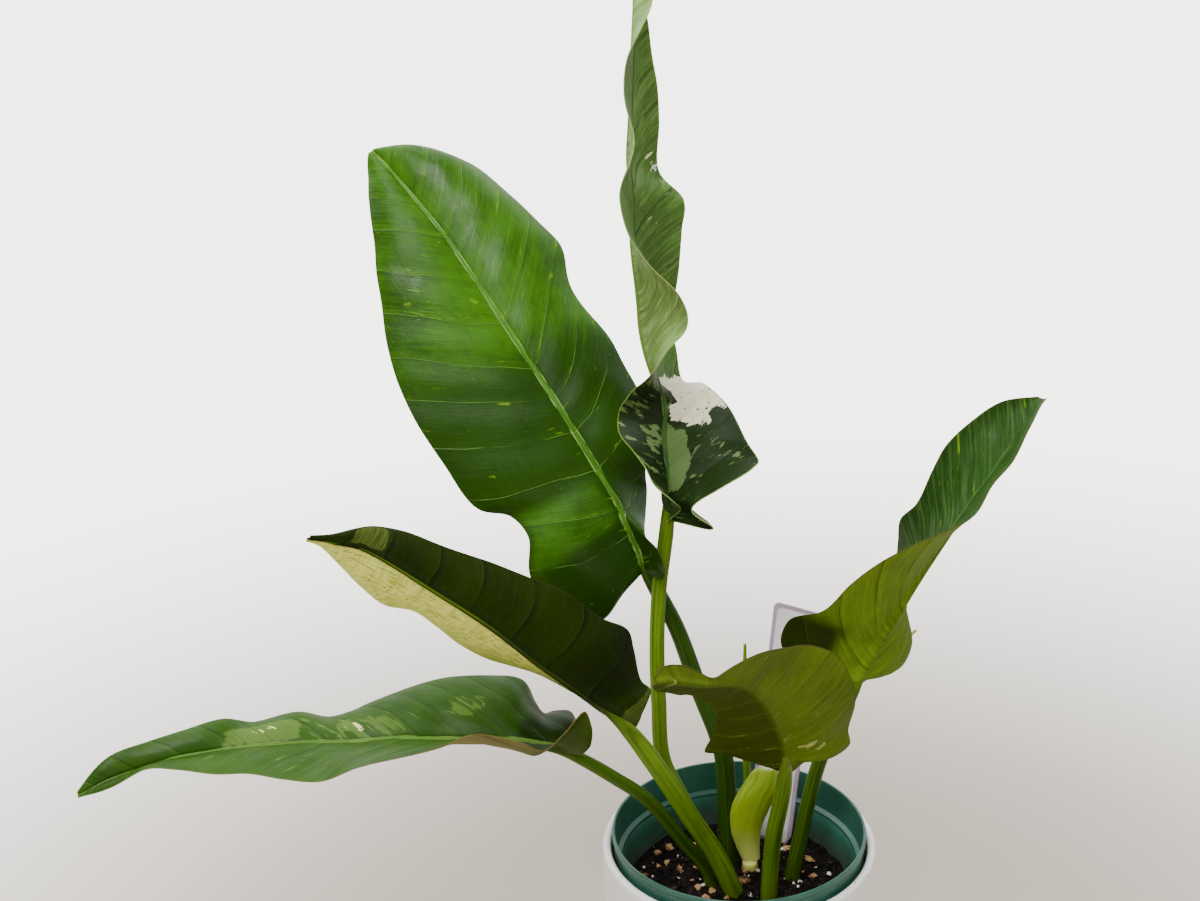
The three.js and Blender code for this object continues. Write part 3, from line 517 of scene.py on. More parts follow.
def leaf_blade(shape, spec, rows, lanes, sheet, rib_lift, quilt, ruffle, seed, reach, crown=0.5):
    """Closed sheet over the rib and margin curves. Upper and lower skins stand half the sheet off
    the middle surface along its normals. The upper one has a crowned rib between two grooves,
    the lower one is raised by a rounded ridge under the rib, and both are quilted between the
    side veins and rippled near the margins.
    The lay is the signed place across, the place along, and the distance in from the margin."""
    q, rib, left, right, along = leaf_rows(spec["stations"], rows, reach)
    share = np.linspace(0, 1, rows + 1)
    v = np.linspace(0, 1, lanes + 1)[1:] ** 1.5
    l_points, l_across = half_sheet(rib, left, along, -1, spec["bow"][0], share, v)
    r_points, r_across = half_sheet(rib, right, along, 1, spec["bow"][1], share, v)
    middle = np.concatenate([l_points[:, ::-1], rib[:, None], r_points], axis=1)
    zero = np.zeros((rows + 1, 1))
    across = np.concatenate([-l_across[:, ::-1], zero, r_across], axis=1)
    signed = np.concatenate([-v[::-1], [0], v])[None, :]
    width = np.where(signed < 0, l_across[:, -1:], r_across[:, -1:])
    margin = np.maximum(width - np.abs(across), 0)
    tip_gap = (q[-1] - q)[:, None]
    margin = np.minimum(margin, tip_gap + 0.2)
    normal = unit(np.cross(np.gradient(middle, axis=1), np.gradient(middle, axis=0)))

    spacing, lean_left, lean_right, bend = spec["veins"]
    lean = np.where(across < 0, lean_left, lean_right)
    phase = (q[:, None] - lean * np.abs(across) - bend * 0.001 * across**2) / spacing
    beside = ease(np.abs(across), 2, 10) * ease(margin, 1, 14)
    puff = quilt * (0.5 + 0.5 * np.cos(2 * np.pi * phase)) * beside
    near_margin = ease(-margin, -16, 0) * ease(share, 0.04, 0.12)[:, None]
    wave = ruffle * ripple(q[:, None] / 9, across / 14, seed) * near_margin
    middle = middle + normal * (puff + wave)[..., None]

    started = ease(share, 0.01, 0.08)[:, None]
    band = np.interp(share, [0, 1], spec.get("rib_band", [3.2, 0.7]))[:, None]
    dome = crown * np.maximum(1 - (across / band) ** 2, 0) * started
    groove = 0.35 * np.exp(-(((np.abs(across) - 1.1 * band) / 0.7) ** 2)) * started
    ridge_half = (2.6 + 3.4 * (1 - share))[:, None]
    ridge = (rib_lift[0] + (rib_lift[1] - rib_lift[0]) * share)[:, None]
    ridge = ridge * (1 - ease(np.abs(across) / ridge_half, 0, 1)) * started
    thick = sheet / 2 * (0.55 + 0.45 * ease(margin, 0, 2.5))
    upper = middle + normal * (thick + dome - groove)[..., None]
    lower = middle - normal * (thick + ridge)[..., None]

    # The deep boxes paint shade: they push the sage bias below zero, which darkens the green.
    cream, mottled, sage, deep = (sectors(spec.get(kind, []), share[:, None], signed)
                                  for kind in ("cream", "mottled", "sage", "deep"))
    marks = np.stack([cream - mottled, sage - deep, np.minimum(np.abs(across) / band, 6)], axis=-1)
    lay = np.stack([across, np.broadcast_to(q[:, None], across.shape), margin], axis=-1)
    wide = 2 * lanes + 1
    top = shape.add_points(upper, lay, marks)
    under = shape.add_points(lower, lay, marks)
    shape.add_faces(grid_quads(rows + 1, wide, top), 0)
    shape.add_faces(grid_quads(rows + 1, wide, under, turned=True), 1)
    column = np.arange(rows + 1) * wide
    row = np.arange(wide)
    last = rows * wide
    shape.add_faces(strip_quads(top + column, under + column), 1)
    shape.add_faces(strip_quads(under + column + wide - 1, top + column + wide - 1), 1)
    shape.add_faces(strip_quads(under + row, top + row), 1)
    shape.add_faces(strip_quads(top + last + row, under + last + row), 1)
    return q, rib, normal[:, lanes]


def stalk_route(spec, q, rib, normal):
    """Path and radii of a leaf's stalk, which runs on under the whole rib: there its centre sinks
    below the blade by its radius times the sink, and the radius falls from the stalk's to almost
    nothing.
    Returns the path, 60 radii at even steps along it, and the share at which the rib starts."""
    stalk = np.asarray(spec["stalk"], float)
    foot, top = spec["radii"]
    picks = np.searchsorted(q, np.linspace(8, q[-1] - 6, 26))
    share = q[picks] / q[-1]
    thin = top * spec.get("rib_size", 0.62)
    under = thin * (1 - share) ** 0.8 + 0.35
    under = under + (top * 0.9 - under) * (1 - ease(q[picks], 4, 34))
    sunk = under * (0.3 + (spec.get("sink", 0.8) - 0.3) * ease(q[picks], 6, 30))
    path = np.vstack([stalk, rib[:1] - normal[:1] * top * 0.3,
                      rib[picks] - normal[picks] * sunk[:, None]])
    near = slice(len(stalk) - 1, len(stalk) + 4)
    for _ in range(6):
        before, after = path[near.start - 1:near.stop - 1], path[near.start + 1:near.stop + 1]
        path[near] = (before + 2 * path[near] + after) / 4
    length = lengths(path)
    joint = length[len(stalk)] / length[-1]
    knots = np.concatenate([[0, length[len(stalk)]], length[len(stalk) + 1:]])
    radii = np.interp(np.linspace(0, length[-1], 60), knots, np.concatenate([[foot, top], under]))
    return path, radii, joint


def rings(radii, sides):
    """x and y of a ring of points at each radius: the radius times the cosine and the sine of even
    turns."""
    turn = np.linspace(0, 2 * np.pi, sides, endpoint=False)
    return np.outer(radii, np.cos(turn)), np.outer(radii, np.sin(turn))


def join_rings(shape, x, y, z, closed=True):
    """Surface through rings of points round Z. The last ring, and where it is closed the first one
    too, is joined to a point on the axis at the ring's mean height."""
    z = np.broadcast_to(z, x.shape)
    ring = shape.add_points(np.stack([x, y, z], axis=-1)) + np.arange(x.shape[1])
    shape.add_faces(grid_quads(*x.shape, ring[0], wrap=True))
    if closed:
        shape.add_faces(fan(shape.add_points([[0, 0, z[0].mean()]]), ring, turned=True))
    shape.add_faces(fan(shape.add_points([[0, 0, z[-1].mean()]]), ring + x.size - x.shape[1]))


def round_pot(shape, profile, sides):
    """Surface of revolution round Z: every [radius, z] of the closed outline makes a ring."""
    inner = np.asarray(profile, float)[1:-1]
    x, y = rings(inner[:, 0], sides)
    join_rings(shape, x, y, inner[:, 1:])


def arc(r, z, radius, start, end, steps):
    """Points round [r, z] from one angle to another, in degrees."""
    angle = np.radians(np.linspace(start, end, steps + 1))
    return np.stack([r + radius * np.cos(angle), z + radius * np.sin(angle)], axis=-1).tolist()


def fine(profile, longest):
    """The outline with points added so that no step is longer than longest."""
    out = [profile[0]]
    for a, b in zip(profile[:-1], profile[1:]):
        parts = max(1, math.ceil(math.dist(a, b) / longest))
        out += [[a[i] + (b[i] - a[i]) * k / parts for i in (0, 1)] for k in range(1, parts + 1)]
    return out


# ---- Materials -----------------------------------------------------------------------------

class Wire:
    """Output of a node. Sums, differences, products and the absolute value of it add Math nodes."""

    def __init__(self, graph, socket):
        self.graph = graph
        self.socket = socket

    def __add__(self, other):
        return self.graph.math("ADD", self, other)

    def __sub__(self, other):
        return self.graph.math("SUBTRACT", self, other)

    def __rsub__(self, other):
        return self.graph.math("SUBTRACT", other, self)

    def __mul__(self, other):
        return self.graph.math("MULTIPLY", self, other)

    def __abs__(self):
        return self.graph.math("ABSOLUTE", self)


class Graph:
    """Adds nodes to one node tree and joins them. A value is a wire or a plain number or colour."""

    def __init__(self, tree):
        self.tree = tree

    def put(self, socket, value):
        if isinstance(value, Wire):
            self.tree.links.new(value.socket, socket)
        else:
            socket.default_value = value

    def node(self, kind, inputs=(), output=None, **settings):
        """Adds a node, puts values on its inputs and returns one output, or all of them by name."""
        node = self.tree.nodes.new(kind)
        for key, value in settings.items():
            setattr(node, key, value)
        for key, value in dict(inputs).items():
            self.put(node.inputs[key], value)
        if output is None:
            return {socket.name: Wire(self, socket) for socket in node.outputs}
        return Wire(self, node.outputs[output])

    def math(self, operation, *values):
        return self.node("ShaderNodeMath", enumerate(values), 0, operation=operation)

    def mix(self, factor, first, second):
        inputs = {"Factor": factor, "A": first, "B": second}
        return self.node("ShaderNodeMix", inputs, "Result", data_type="RGBA")

    def layers(self, colour, *upper):
        """Lays each colour of upper, given with its share, over those before it."""
        for share, over in upper:
            colour = self.mix(share, colour, over)
        return colour

    def step(self, value, low, high, start=0.0, end=1.0):
        """Smooth step from start, where the value is low, to end, where it is high."""
        inputs = {"Value": value, "From Min": low, "From Max": high, "To Min": start, "To Max": end}
        return self.node("ShaderNodeMapRange", inputs, "Result", interpolation_type="SMOOTHSTEP")

    def vector(self, x, y, z=0.0):
        return self.node("ShaderNodeCombineXYZ", enumerate((x, y, z)), 0)

    def split(self, vector):
        return list(self.node("ShaderNodeSeparateXYZ", {0: vector}).values())

    def scaled(self, vector, *factors):
        return self.node("ShaderNodeVectorMath", {0: vector, 1: factors}, 0, operation="MULTIPLY")

    def noise(self, vector, scale, detail=3.0, rough=0.5, distortion=0.0):
        inputs = {"Vector": vector, "Scale": scale, "Detail": detail, "Roughness": rough,
                  "Distortion": distortion}
        return self.node("ShaderNodeTexNoise", inputs, "Fac")

    def cells(self, vector, scale):
        return self.node("ShaderNodeTexVoronoi", {"Vector": vector, "Scale": scale})

    def place(self):
        return self.node("ShaderNodeTexCoord", output="Object")

    def attribute(self, name):
        return self.node("ShaderNodeAttribute", output="Vector", attribute_name=name)

    def camera_sees(self):
        return self.node("ShaderNodeLightPath", output="Is Camera Ray")

    def distance(self, x, y):
        """Length of the vector x, y: the root of the sum of the squares."""
        return self.math("SQRT", x * x + y * y)

    def bump(self, height, distance):
        return self.node("ShaderNodeBump", {"Height": height, "Distance": distance}, "Normal")

    def use(self, effect, **values):
        """Adds the shared node group of an effect with these values, and returns its outputs."""
        inputs = {name.replace("_", " "): value for name, value in values.items()}
        return self.node("ShaderNodeGroup", inputs, node_tree=shared_group(effect, inputs))


def shared_group(effect, inputs):
    """Node group of an effect, made when it is first used: it has the inputs named, of the kind of
    their values, and the outputs that the effect makes from them."""
    title = effect.__name__.replace("_", " ").capitalize()
    if title in bpy.data.node_groups:
        return bpy.data.node_groups[title]
    tree = bpy.data.node_groups.new(title, "ShaderNodeTree")

    def open_sockets(values, way):
        for name, value in values.items():
            is_vector = isinstance(value, Wire) and value.socket.type == "VECTOR"
            kind = "NodeSocketVector" if is_vector else "NodeSocketFloat"
            tree.interface.new_socket(name=name, in_out=way, socket_type=kind)

    open_sockets(inputs, "INPUT")
    graph = Graph(tree)
    outputs = effect(graph, graph.node("NodeGroupInput"))
    open_sockets(outputs, "OUTPUT")
    graph.node("NodeGroupOutput", outputs)
    return tree


def side_veins(g, s):
    """Lateral veins. The phase is the place along less the lean times the distance across and the
    curve times its square, over the spacing. Line is 1 on a vein, Glow fades out on its tip side
    and Shade on its foot side, Quilt rises between veins, and Flow is a vector along the veins."""
    x, y, _ = g.split(s["Lay"])
    away = abs(x)
    lean = g.math("LESS_THAN", x, 0.0) * (s["Lean Left"] - s["Lean Right"]) + s["Lean Right"]
    run = y - (away * away * s["Curve"] + lean * away)
    wander = (g.noise(g.vector(x, y), 20.0, 2.0) - 0.5) * 0.012
    phase = g.math("DIVIDE", run + wander, s["Spacing"])
    offset = g.math("FRACT", phase) - 0.5
    patchy = g.step(g.noise(g.vector(x, y), 34.0, 2.0), 0.36, 0.58)
    strength = patchy * 0.6 + 0.4
    return {
        "Line": g.step(abs(offset) * s["Spacing"], s["Width"], 0.0) * patchy,
        "Glow": g.math("GREATER_THAN", offset, 0.0) * g.step(offset, 0.22, 0.0) * strength,
        "Shade": g.math("LESS_THAN", offset, 0.0) * g.step(offset, -0.16, 0.0) * strength,
        "Quilt": g.math("COSINE", phase * 6.2832) * 0.5 + 0.5,
        "Flow": g.vector(x, run),
    }


def pale_marks(g, s):
    """Variegation. Noise stretched along the veins, plus the pale bias, is cut off at a threshold
    with a crisp edge, so marks are scattered flecks where the bias is low and whole sectors
    where it is high."""
    x, y, _ = g.split(s["Flow"])
    cloud = g.noise(g.vector(x * s["Stretch"], y, s["Seed"]), s["Scale"], 5.0, 0.62, 0.3)
    threshold, edge = s["Threshold"], s["Edge"]
    return {"Mask": g.step(cloud + s["Bias"], threshold - edge, threshold + edge)}


def fine_fibres(g, s):
    """Fine lines along the veins or a stalk: two noises, long one way and narrow the other."""
    x, y, z = g.split(s["Flow"])
    long_way = x * s["Length"]
    return {
        "Lines": g.noise(g.vector(long_way, y * s["Across"], z), 1.0, 3.0, 0.6),
        "Soft": g.noise(g.vector(long_way, y * (s["Across"] * 0.22), z), 1.0, 4.0, 0.62),
    }


def specks(g, s):
    """Scattered specks: small round cells, kept only where a second value of the cell is rare."""
    found = g.cells(s["Place"], s["Scale"])
    shade = g.split(found["Color"])
    rare = g.math("LESS_THAN", shade[0], s["Amount"])
    size = s["Size"] * (shade[1] + 0.35)
    return {"Mask": rare * g.step(found["Distance"], size, size * 0.6)}


class Skin(Graph):
    """Graph of a new material that ends in its Principled shader."""

    def __init__(self, name, colour):
        self.material = bpy.data.materials.new(name)
        self.material.use_nodes = True
        self.material.diffuse_color = colour
        super().__init__(self.material.node_tree)
        self.shader = next(n for n in self.tree.nodes if n.type == "BSDF_PRINCIPLED")

    def specks(self, place, scale, size, amount):
        return self.use(specks, Place=place, Scale=scale, Size=size, Amount=amount)["Mask"]

    def fibres(self, flow, across, length):
        made = self.use(fine_fibres, Flow=flow, Across=across, Length=length)
        return made["Lines"], made["Soft"]

    def wear(self, **inputs):
        """Puts values on the shader's inputs and returns the material."""
        for name, value in inputs.items():
            self.put(self.shader.inputs[name.replace("_", " ")], value)
        return self.material


def leaf_skin(name, veins, p, under=False):
    """Skin of a leaf in the colours of its palette p: broad shades of green, fibres and side veins
    with a painted highlight on one side of each and a painted shadow on the other, mottles and pale
    marks that go through the blade, painted shade in the shaded boxes, on one half and along the
    underside's rib crease, the rib's band with painted highlights along its sides, a thin margin
    line, and waxy patches of clear coat on an upper side."""
    g = Skin(name, p["mid"])
    lay = g.attribute("lay")
    x, y, edge = g.split(lay)
    cream_bias, sage_bias, rib_place = g.split(g.attribute("marks"))
    spacing, lean_left, lean_right, curve = veins
    vein = g.use(side_veins, Lay=lay, Spacing=spacing * MM, Lean_Left=lean_left,
                 Lean_Right=lean_right, Curve=curve, Width=VEIN_WIDTH)
    lines, soft = g.fibres(vein["Flow"], 1500.0, 45.0)
    cross_lines, cross_soft = g.fibres(g.vector(y, x), 1300.0, 90.0)
    broad = g.noise(g.place(), 18.0, 6.0, 0.62)

    def marks(bias, scale, stretch, threshold, edge, seed):
        return g.use(pale_marks, Flow=vein["Flow"], Bias=bias, Scale=scale, Stretch=stretch,
                     Threshold=threshold, Edge=edge, Seed=seed)["Mask"]

    def streaks(across, along, low, high, z=0.0, detail=4.0, rough=0.65):
        grain = g.noise(g.vector(x * across, y * along, z), 1.0, detail, rough)
        return g.step(grain, low, high)

    fleck = marks(vein["Glow"] * 0.05, 210.0, 0.3, p["fleck_level"], 0.02, 11.0)
    sage = g.math("MAXIMUM", g.math("MAXIMUM", sage_bias, cream_bias * -1.0) * BIAS_WEIGHT, 0.0)
    mottle = marks(sage, p["mottle_scale"], 0.5, p["mottle_level"], 0.012, 3.0)
    cream = marks(cream_bias * BIAS_WEIGHT, p["cream_scale"], 0.45, p["cream_level"], 0.01, 7.0)
    tint = g.layers(
        p["cream"],
        (g.step(soft, 0.4, 0.75) * 0.5, p["cream_shade"]),
        (streaks(620.0, 60.0, 0.54, 0.64) * p["slivers"], p["cream_shade"]),
        (streaks(900.0, 90.0, 0.63, 0.67, z=4.0) * p["slivers"], p["light"]),
    )
    colour = g.layers(
        p["dark"],
        (g.step(broad, 0.34, 0.64), p["mid"]),
        # Long light streaks of fibre; where a palette sets them strong (NIGHT, NIGHT_UNDER, SHADE)
        # they also paint sheen.
        (g.step(soft, 0.42, 0.75) * p["streaks"], p["light"]),
        (g.step(lines, 0.45, 0.8) * p["lines"], p["light"]),
        (g.step(cross_lines, 0.52, 0.8) * p["cross"], p["light"]),
        (g.step(cross_soft, 0.5, 0.3) * p["cross"], p["dark"]),
        # Painted shade over the right half, for a folded leaf whose one half turns from the light.
        (g.step(x, -0.002, 0.004, 0.0, p["right_deep"]), p["deep"]),
        (vein["Shade"] * p["shade"], p["deep"]),
        (vein["Glow"] * p["glow"], p["light"]),
        # Painted shade in the shaded boxes, where the sage bias is below zero.
        (g.step(sage_bias * -1.0, 0.05, 0.8) * 0.92, p["deep"]),
        (vein["Line"] * p["vein"], p["vein_colour"]),
        (fleck * 0.75, p["fleck"]),
        (mottle * p["mottle"], g.mix(g.step(lines, 0.35, 0.7), p["sage"], p["light"])),
        (cream * (1.0 - g.specks(lay, 430.0, 0.34, p["dots"])), tint),
    )
    if under:
        # Painted shade: the underside darkens in the crease along the raised rib.
        colour = g.layers(colour, (g.step(rib_place, 2.0, 0.7) * p["crease"], p["deep"]))
    else:
        rib_tint = g.mix(streaks(900.0, 40.0, 0.35, 0.7, detail=3.0, rough=0.6), p["rib_colour"],
                         p["vein_colour"])
        # Painted highlights: thin pale broken lines along both sides of the rib's band.
        rib_highlight_line = g.step(abs(rib_place - 1.05), 0.26, 0.06)
        broken = g.step(g.noise(g.vector(x, y), 60.0, 2.0), 0.4, 0.62)
        colour = g.layers(
            colour,
            (g.step(rib_place, 1.05, 0.8) * p["rib"], rib_tint),
            (rib_highlight_line * broken * 0.75, p["rib_side"]),
        )
    colour = g.layers(colour, (g.step(edge, 0.0007, 0.0002) * 0.8, p["hem"]))
    if p["wax"]:
        patch = g.step(g.noise(g.place(), 26.0, 6.0, 0.6), 0.5, 0.6)
        fine_lines = g.step(lines, 0.35, 0.65) * 0.6 + 0.4
        g.wear(Coat_Weight=patch * fine_lines * p["wax"], Coat_Roughness=0.22)
    side = 1.0 if under else -1.0
    height = (vein["Line"] * (0.3 * side) - vein["Quilt"] * (p["quilt"] * side)
              + soft * 0.12 + lines * 0.12 + cross_lines * 0.12)
    return g.wear(
        Base_Color=colour, Roughness=(broad - 0.5) * 0.2 + lines * 0.1 + p["rough"],
        Specular_IOR_Level=p["specular"], Normal=g.bump(height, 0.0012))


def stalk_skin(name, dark, mid, light, rib):
    """Leaf stalk: long streaks and one pale line along its length, darker towards the soil, and
    turning to the rib's colour where it runs on under the blade."""
    g = Skin(name, mid)
    x, y, length = g.split(g.attribute("lay"))
    into_rib = g.split(g.attribute("marks"))[2]
    lines, soft = g.fibres(g.vector(length, x + y * 0.6, y), 1500.0, 9.0)
    broad = g.noise(g.vector(x * 260.0, y * 260.0, length * 5.0), 1.0, 2.0)
    colour = g.layers(
        dark,
        (g.step(broad, 0.3, 0.6), mid),
        (g.step(soft, 0.36, 0.72) * 0.5, light),
        (g.step(lines, 0.5, 0.75) * 0.3, light),
        (g.step(abs(y - 0.0012), 0.0005, 0.0001) * 0.1, paint(150, 184, 70)),
        (g.step(length + broad * 0.02, 0.05, 0.015) * 0.5, paint(52, 56, 18)),
        (into_rib, g.mix(g.step(soft, 0.4, 0.7) * 0.35, rib, light)),
    )
    return g.wear(Base_Color=colour, Roughness=lines * 0.15 + 0.34, Specular_IOR_Level=0.15,
                  Normal=g.bump(soft * 0.6 + lines * 0.25, 0.0006))


def palette(base, **changes):
    """Look of one side of a leaf: that of base, with changes. Colours are screen colours."""
    return {**base, **{key: paint(*value) if isinstance(value, tuple) else value
                       for key, value in changes.items()}}


# Looks of the leaves' sides: the green of painted shade, the greens from dark to light, the colours
# of veins, marks, rib, the rib's painted highlights and margin, the levels that noise has to pass
# for a mark, the scales of the marks' noise, and how strongly each layer shows.
GREEN = palette(
    {}, deep=(24, 52, 3), dark=(34, 68, 3), mid=(57, 105, 5), light=(88, 146, 12),
    vein_colour=(104, 160, 44), fleck=(112, 150, 8), sage=(104, 146, 16), cream=(231, 240, 120),
    cream_shade=(170, 190, 50), rib_colour=(58, 114, 10), rib_side=(160, 196, 110),
    hem=(60, 86, 27),
    fleck_level=0.67, mottle_level=0.8, cream_level=0.92, mottle_scale=170.0, cream_scale=120.0,
    streaks=0.2, lines=0.35, cross=0.3, right_deep=0.0, shade=0.28, glow=0.2, vein=0.6, mottle=0.7,
    dots=0.1, slivers=0.5, crease=0.3, rib=0.6, wax=0.3, quilt=0.16, rough=0.28, specular=0.16,
)
# The tall twisted leaf: its strong light streaks are partly painted sheen.
NIGHT = palette(
    GREEN, deep=(12, 24, 8), dark=(62, 96, 36), mid=(91, 132, 54), light=(122, 163, 82),
    vein_colour=(60, 89, 52), fleck=(70, 104, 50), sage=(112, 136, 86), cream=(255, 250, 224),
    cream_shade=(235, 225, 150), rib_colour=(74, 108, 44), rib_side=(100, 140, 90),
    hem=(131, 161, 41),
    fleck_level=0.66, mottle_level=0.64, cream_level=0.8, cream_scale=190.0, streaks=0.8, shade=0.5,
    dots=0.16, rib=0.9, wax=0.0, quilt=0.3, rough=0.32, specular=0.14,
)
NIGHT_UNDER = palette(
    NIGHT, deep=(30, 52, 18), dark=(94, 128, 57), mid=(126, 161, 81), light=(179, 202, 132),
    vein_colour=(135, 160, 99), fleck=(104, 134, 60), hem=(150, 176, 90), fleck_level=0.74,
    mottle_level=0.8, shade=0.3, specular=0.12,
)
DUSK = palette(
    GREEN, deep=(16, 23, 4), dark=(24, 36, 2), mid=(32, 47, 2), light=(45, 63, 18),
    vein_colour=(47, 67, 20), fleck=(62, 82, 20), sage=(98, 112, 44), cream=(250, 255, 132),
    cream_shade=(156, 168, 34), hem=(66, 54, 34), fleck_level=0.78, cream_level=0.84,
    mottle_scale=60.0, streaks=0.25, cross=0.2, shade=0.7, vein=0.45, dots=0.05, slivers=0.95,
    wax=0.0, rough=0.5, specular=0.05,
)
MEADOW = palette(
    GREEN, deep=(23, 42, 5), dark=(36, 69, 10), mid=(55, 89, 21), light=(72, 109, 33),
    vein_colour=(88, 128, 53), fleck=(107, 136, 59), sage=(107, 136, 59), cream=(245, 246, 170),
    cream_shade=(180, 200, 70), rib_colour=(92, 128, 40), rib_side=(130, 170, 80),
    hem=(84, 110, 40),
    fleck_level=0.7, mottle_level=0.72, cream_level=0.84, shade=0.4, dots=0.14, rib=0.8, wax=0.12,
    quilt=0.3, specular=0.1,
)
BRONZE = palette(
    DUSK, deep=(46, 72, 12), dark=(88, 88, 34), mid=(120, 118, 46), light=(160, 148, 88),
    vein_colour=(110, 116, 50), fleck=(136, 130, 70), hem=(120, 96, 50), fleck_level=0.7,
    cream_level=0.88, streaks=0.6, shade=0.4,
)
OLIVE = palette(
    DUSK, deep=(40, 50, 3), dark=(75, 94, 19), mid=(93, 116, 22), light=(111, 132, 26),
    vein_colour=(117, 131, 29), fleck=(150, 156, 70), sage=(108, 118, 44), cream=(170, 172, 98),
    cream_shade=(120, 132, 44), hem=(76, 61, 34), fleck_level=0.67, mottle_level=0.84,
    cream_level=0.86, streaks=0.55, right_deep=0.75, shade=0.25, vein=0.25, crease=0.1,
)
MOSS = palette(
    OLIVE, deep=(30, 37, 6), dark=(75, 102, 19), mid=(103, 132, 25), light=(133, 162, 33),
    sage=(58, 94, 8), fleck_level=0.78, right_deep=0.0, shade=0.4,
)
# Upper side of the right turned leaf: its strong light streaks are partly painted sheen.
SHADE = palette(
    GREEN, deep=(16, 34, 12), dark=(28, 56, 12), mid=(40, 74, 18), light=(78, 113, 53),
    vein_colour=(70, 108, 48), fleck=(126, 168, 14), sage=(62, 106, 8), rib_side=(80, 118, 54),
    hem=(96, 84, 44), fleck_level=0.66, streaks=0.8, shade=0.3, mottle=0.95, rib=0.45, wax=0.1,
    specular=0.08,
)
# Stalks: dark, middle and light green.
SUNNY_STALK = (paint(54, 78, 7), paint(88, 120, 11), paint(134, 170, 26))
SHADED_STALK = (paint(22, 42, 6), paint(38, 68, 9), paint(66, 102, 16))
PLAIN_STALK = (paint(34, 56, 6), paint(56, 86, 9), paint(94, 130, 18))
# Upper side, under side, stalk and the rib's under side of each leaf.
LEAF_LOOKS = {
    "leaf_broad_upper_left": (GREEN, MOSS, SHADED_STALK, paint(60, 96, 14)),
    "leaf_tall_twisted": (NIGHT, NIGHT_UNDER, SUNNY_STALK, paint(96, 130, 60)),
    "leaf_half_pale": (GREEN, DUSK, SUNNY_STALK, paint(36, 54, 6)),
    "leaf_low_left": (MEADOW, BRONZE, PLAIN_STALK, paint(70, 96, 20)),
    "leaf_front_folded": (GREEN, OLIVE, SUNNY_STALK, paint(76, 96, 8)),
    "leaf_right_turned": (SHADE, MOSS, PLAIN_STALK, paint(76, 100, 8)),
}


def toned(colour, *factors):
    """Colour with full alpha, each channel multiplied by its factor where factors are given."""
    return tuple(c * f for c, f in zip(colour, factors or (1, 1, 1))) + (1.0,)


def glazed_clay(name, glaze):
    """Satin glaze: faint clouding, tiny pits, and a few dark dirt specks on and near the lip."""
    g = Skin(name, paint(240, 238, 232))
    place = g.place()
    cloud = g.noise(place, 22.0, 4.0, 0.55)
    dirt = g.math("MAXIMUM", g.specks(place, 230.0, 0.24, 0.04), g.specks(place, 620.0, 0.3, 0.05))
    grime = dirt * g.step(g.split(place)[2], 0.1335, 0.139)
    pores = g.specks(place, 420.0, 0.16, 0.05)
    colour = g.layers(
        toned(glaze),
        (g.step(cloud, 0.3, 0.7), toned(glaze, 0.9469, 0.938, 0.9198)),
        (grime, paint(64, 50, 36)),
        (pores * 0.35, paint(176, 168, 152)),
    )
    height = g.noise(place, 60.0, 2.0) * 0.6 - pores * 0.25
    return g.wear(Base_Color=colour, Roughness=cloud * 0.16 + grime * 0.4 + 0.24, Coat_Weight=0.15,
                  Normal=g.bump(height, 0.0004))


def pot_plastic(name, plastic):
    """Dark moulded plastic: faint vertical drag marks, a chalky water line above the soil on the
    inside, and dust on the rim."""
    g = Skin(name, paint(26, 84, 66))
    place = g.place()
    drag = g.noise(g.scaled(place, 260.0, 260.0, 9.0), 1.0, 3.0, 0.6)
    cloud = g.noise(place, 30.0, 3.0)
    soiled = g.step(g.split(place)[2] + (cloud - 0.5) * 0.012, 0.124, 0.108)
    dust = g.specks(place, 700.0, 0.32, 0.09)
    colour = g.layers(
        toned(plastic, 0.5531, 0.6404, 0.6212),
        (g.step(cloud, 0.3, 0.7), toned(plastic)),
        (g.step(drag, 0.5, 0.8) * 0.2, paint(70, 116, 98)),
        (soiled * 0.6, paint(52, 48, 34)),
        (dust * 0.55, paint(150, 140, 116)),
    )
    return g.wear(Base_Color=colour, Roughness=drag * 0.18 + soiled * 0.3 + 0.3,
                  Normal=g.bump(drag * 0.3 + dust * 0.5, 0.0003))


def dark_soil(name):
    """Damp potting soil: near-black crumbs over brown, short pale fibres and fine grit."""
    g = Skin(name, paint(30, 22, 18))
    place = g.place()
    clump = g.noise(place, 120.0, 6.0, 0.68)
    colour = g.layers(
        paint(4, 3, 3),
        (g.step(clump, 0.38, 0.64), paint(19, 14, 11)),
        (g.specks(place, 520.0, 0.36, 0.1) * 0.75, paint(92, 70, 48)),
        (g.specks(place, 760.0, 0.34, 0.05) * 0.8, paint(190, 178, 150)),
    )
    height = clump + g.cells(place, 330.0)["Distance"] * 0.4
    return g.wear(Base_Color=colour, Roughness=clump * -0.3 + 0.95, Specular_IOR_Level=0.12,
                  Normal=g.bump(height, 0.003))


def crumb_stuff(name, dark, light, scale, rough, pits):
    """Loose crumb: two shades mottled by noise, with pits or grain in the bump."""
    g = Skin(name, light)
    place = g.place()
    cloud = g.noise(place, scale, 4.0, 0.6)
    mixed = (g.noise(place, 55.0, 1.0) - 0.5) * 1.6 + cloud
    cell = g.cells(place, pits)["Distance"]
    colour = g.layers(dark, (g.step(mixed, 0.32, 0.68), light), (g.step(cell, 0.25, 0.0), dark))
    return g.wear(Base_Color=colour, Roughness=cloud * 0.1 + rough, Specular_IOR_Level=0.15,
                  Normal=g.bump(cloud + cell, 0.0006))


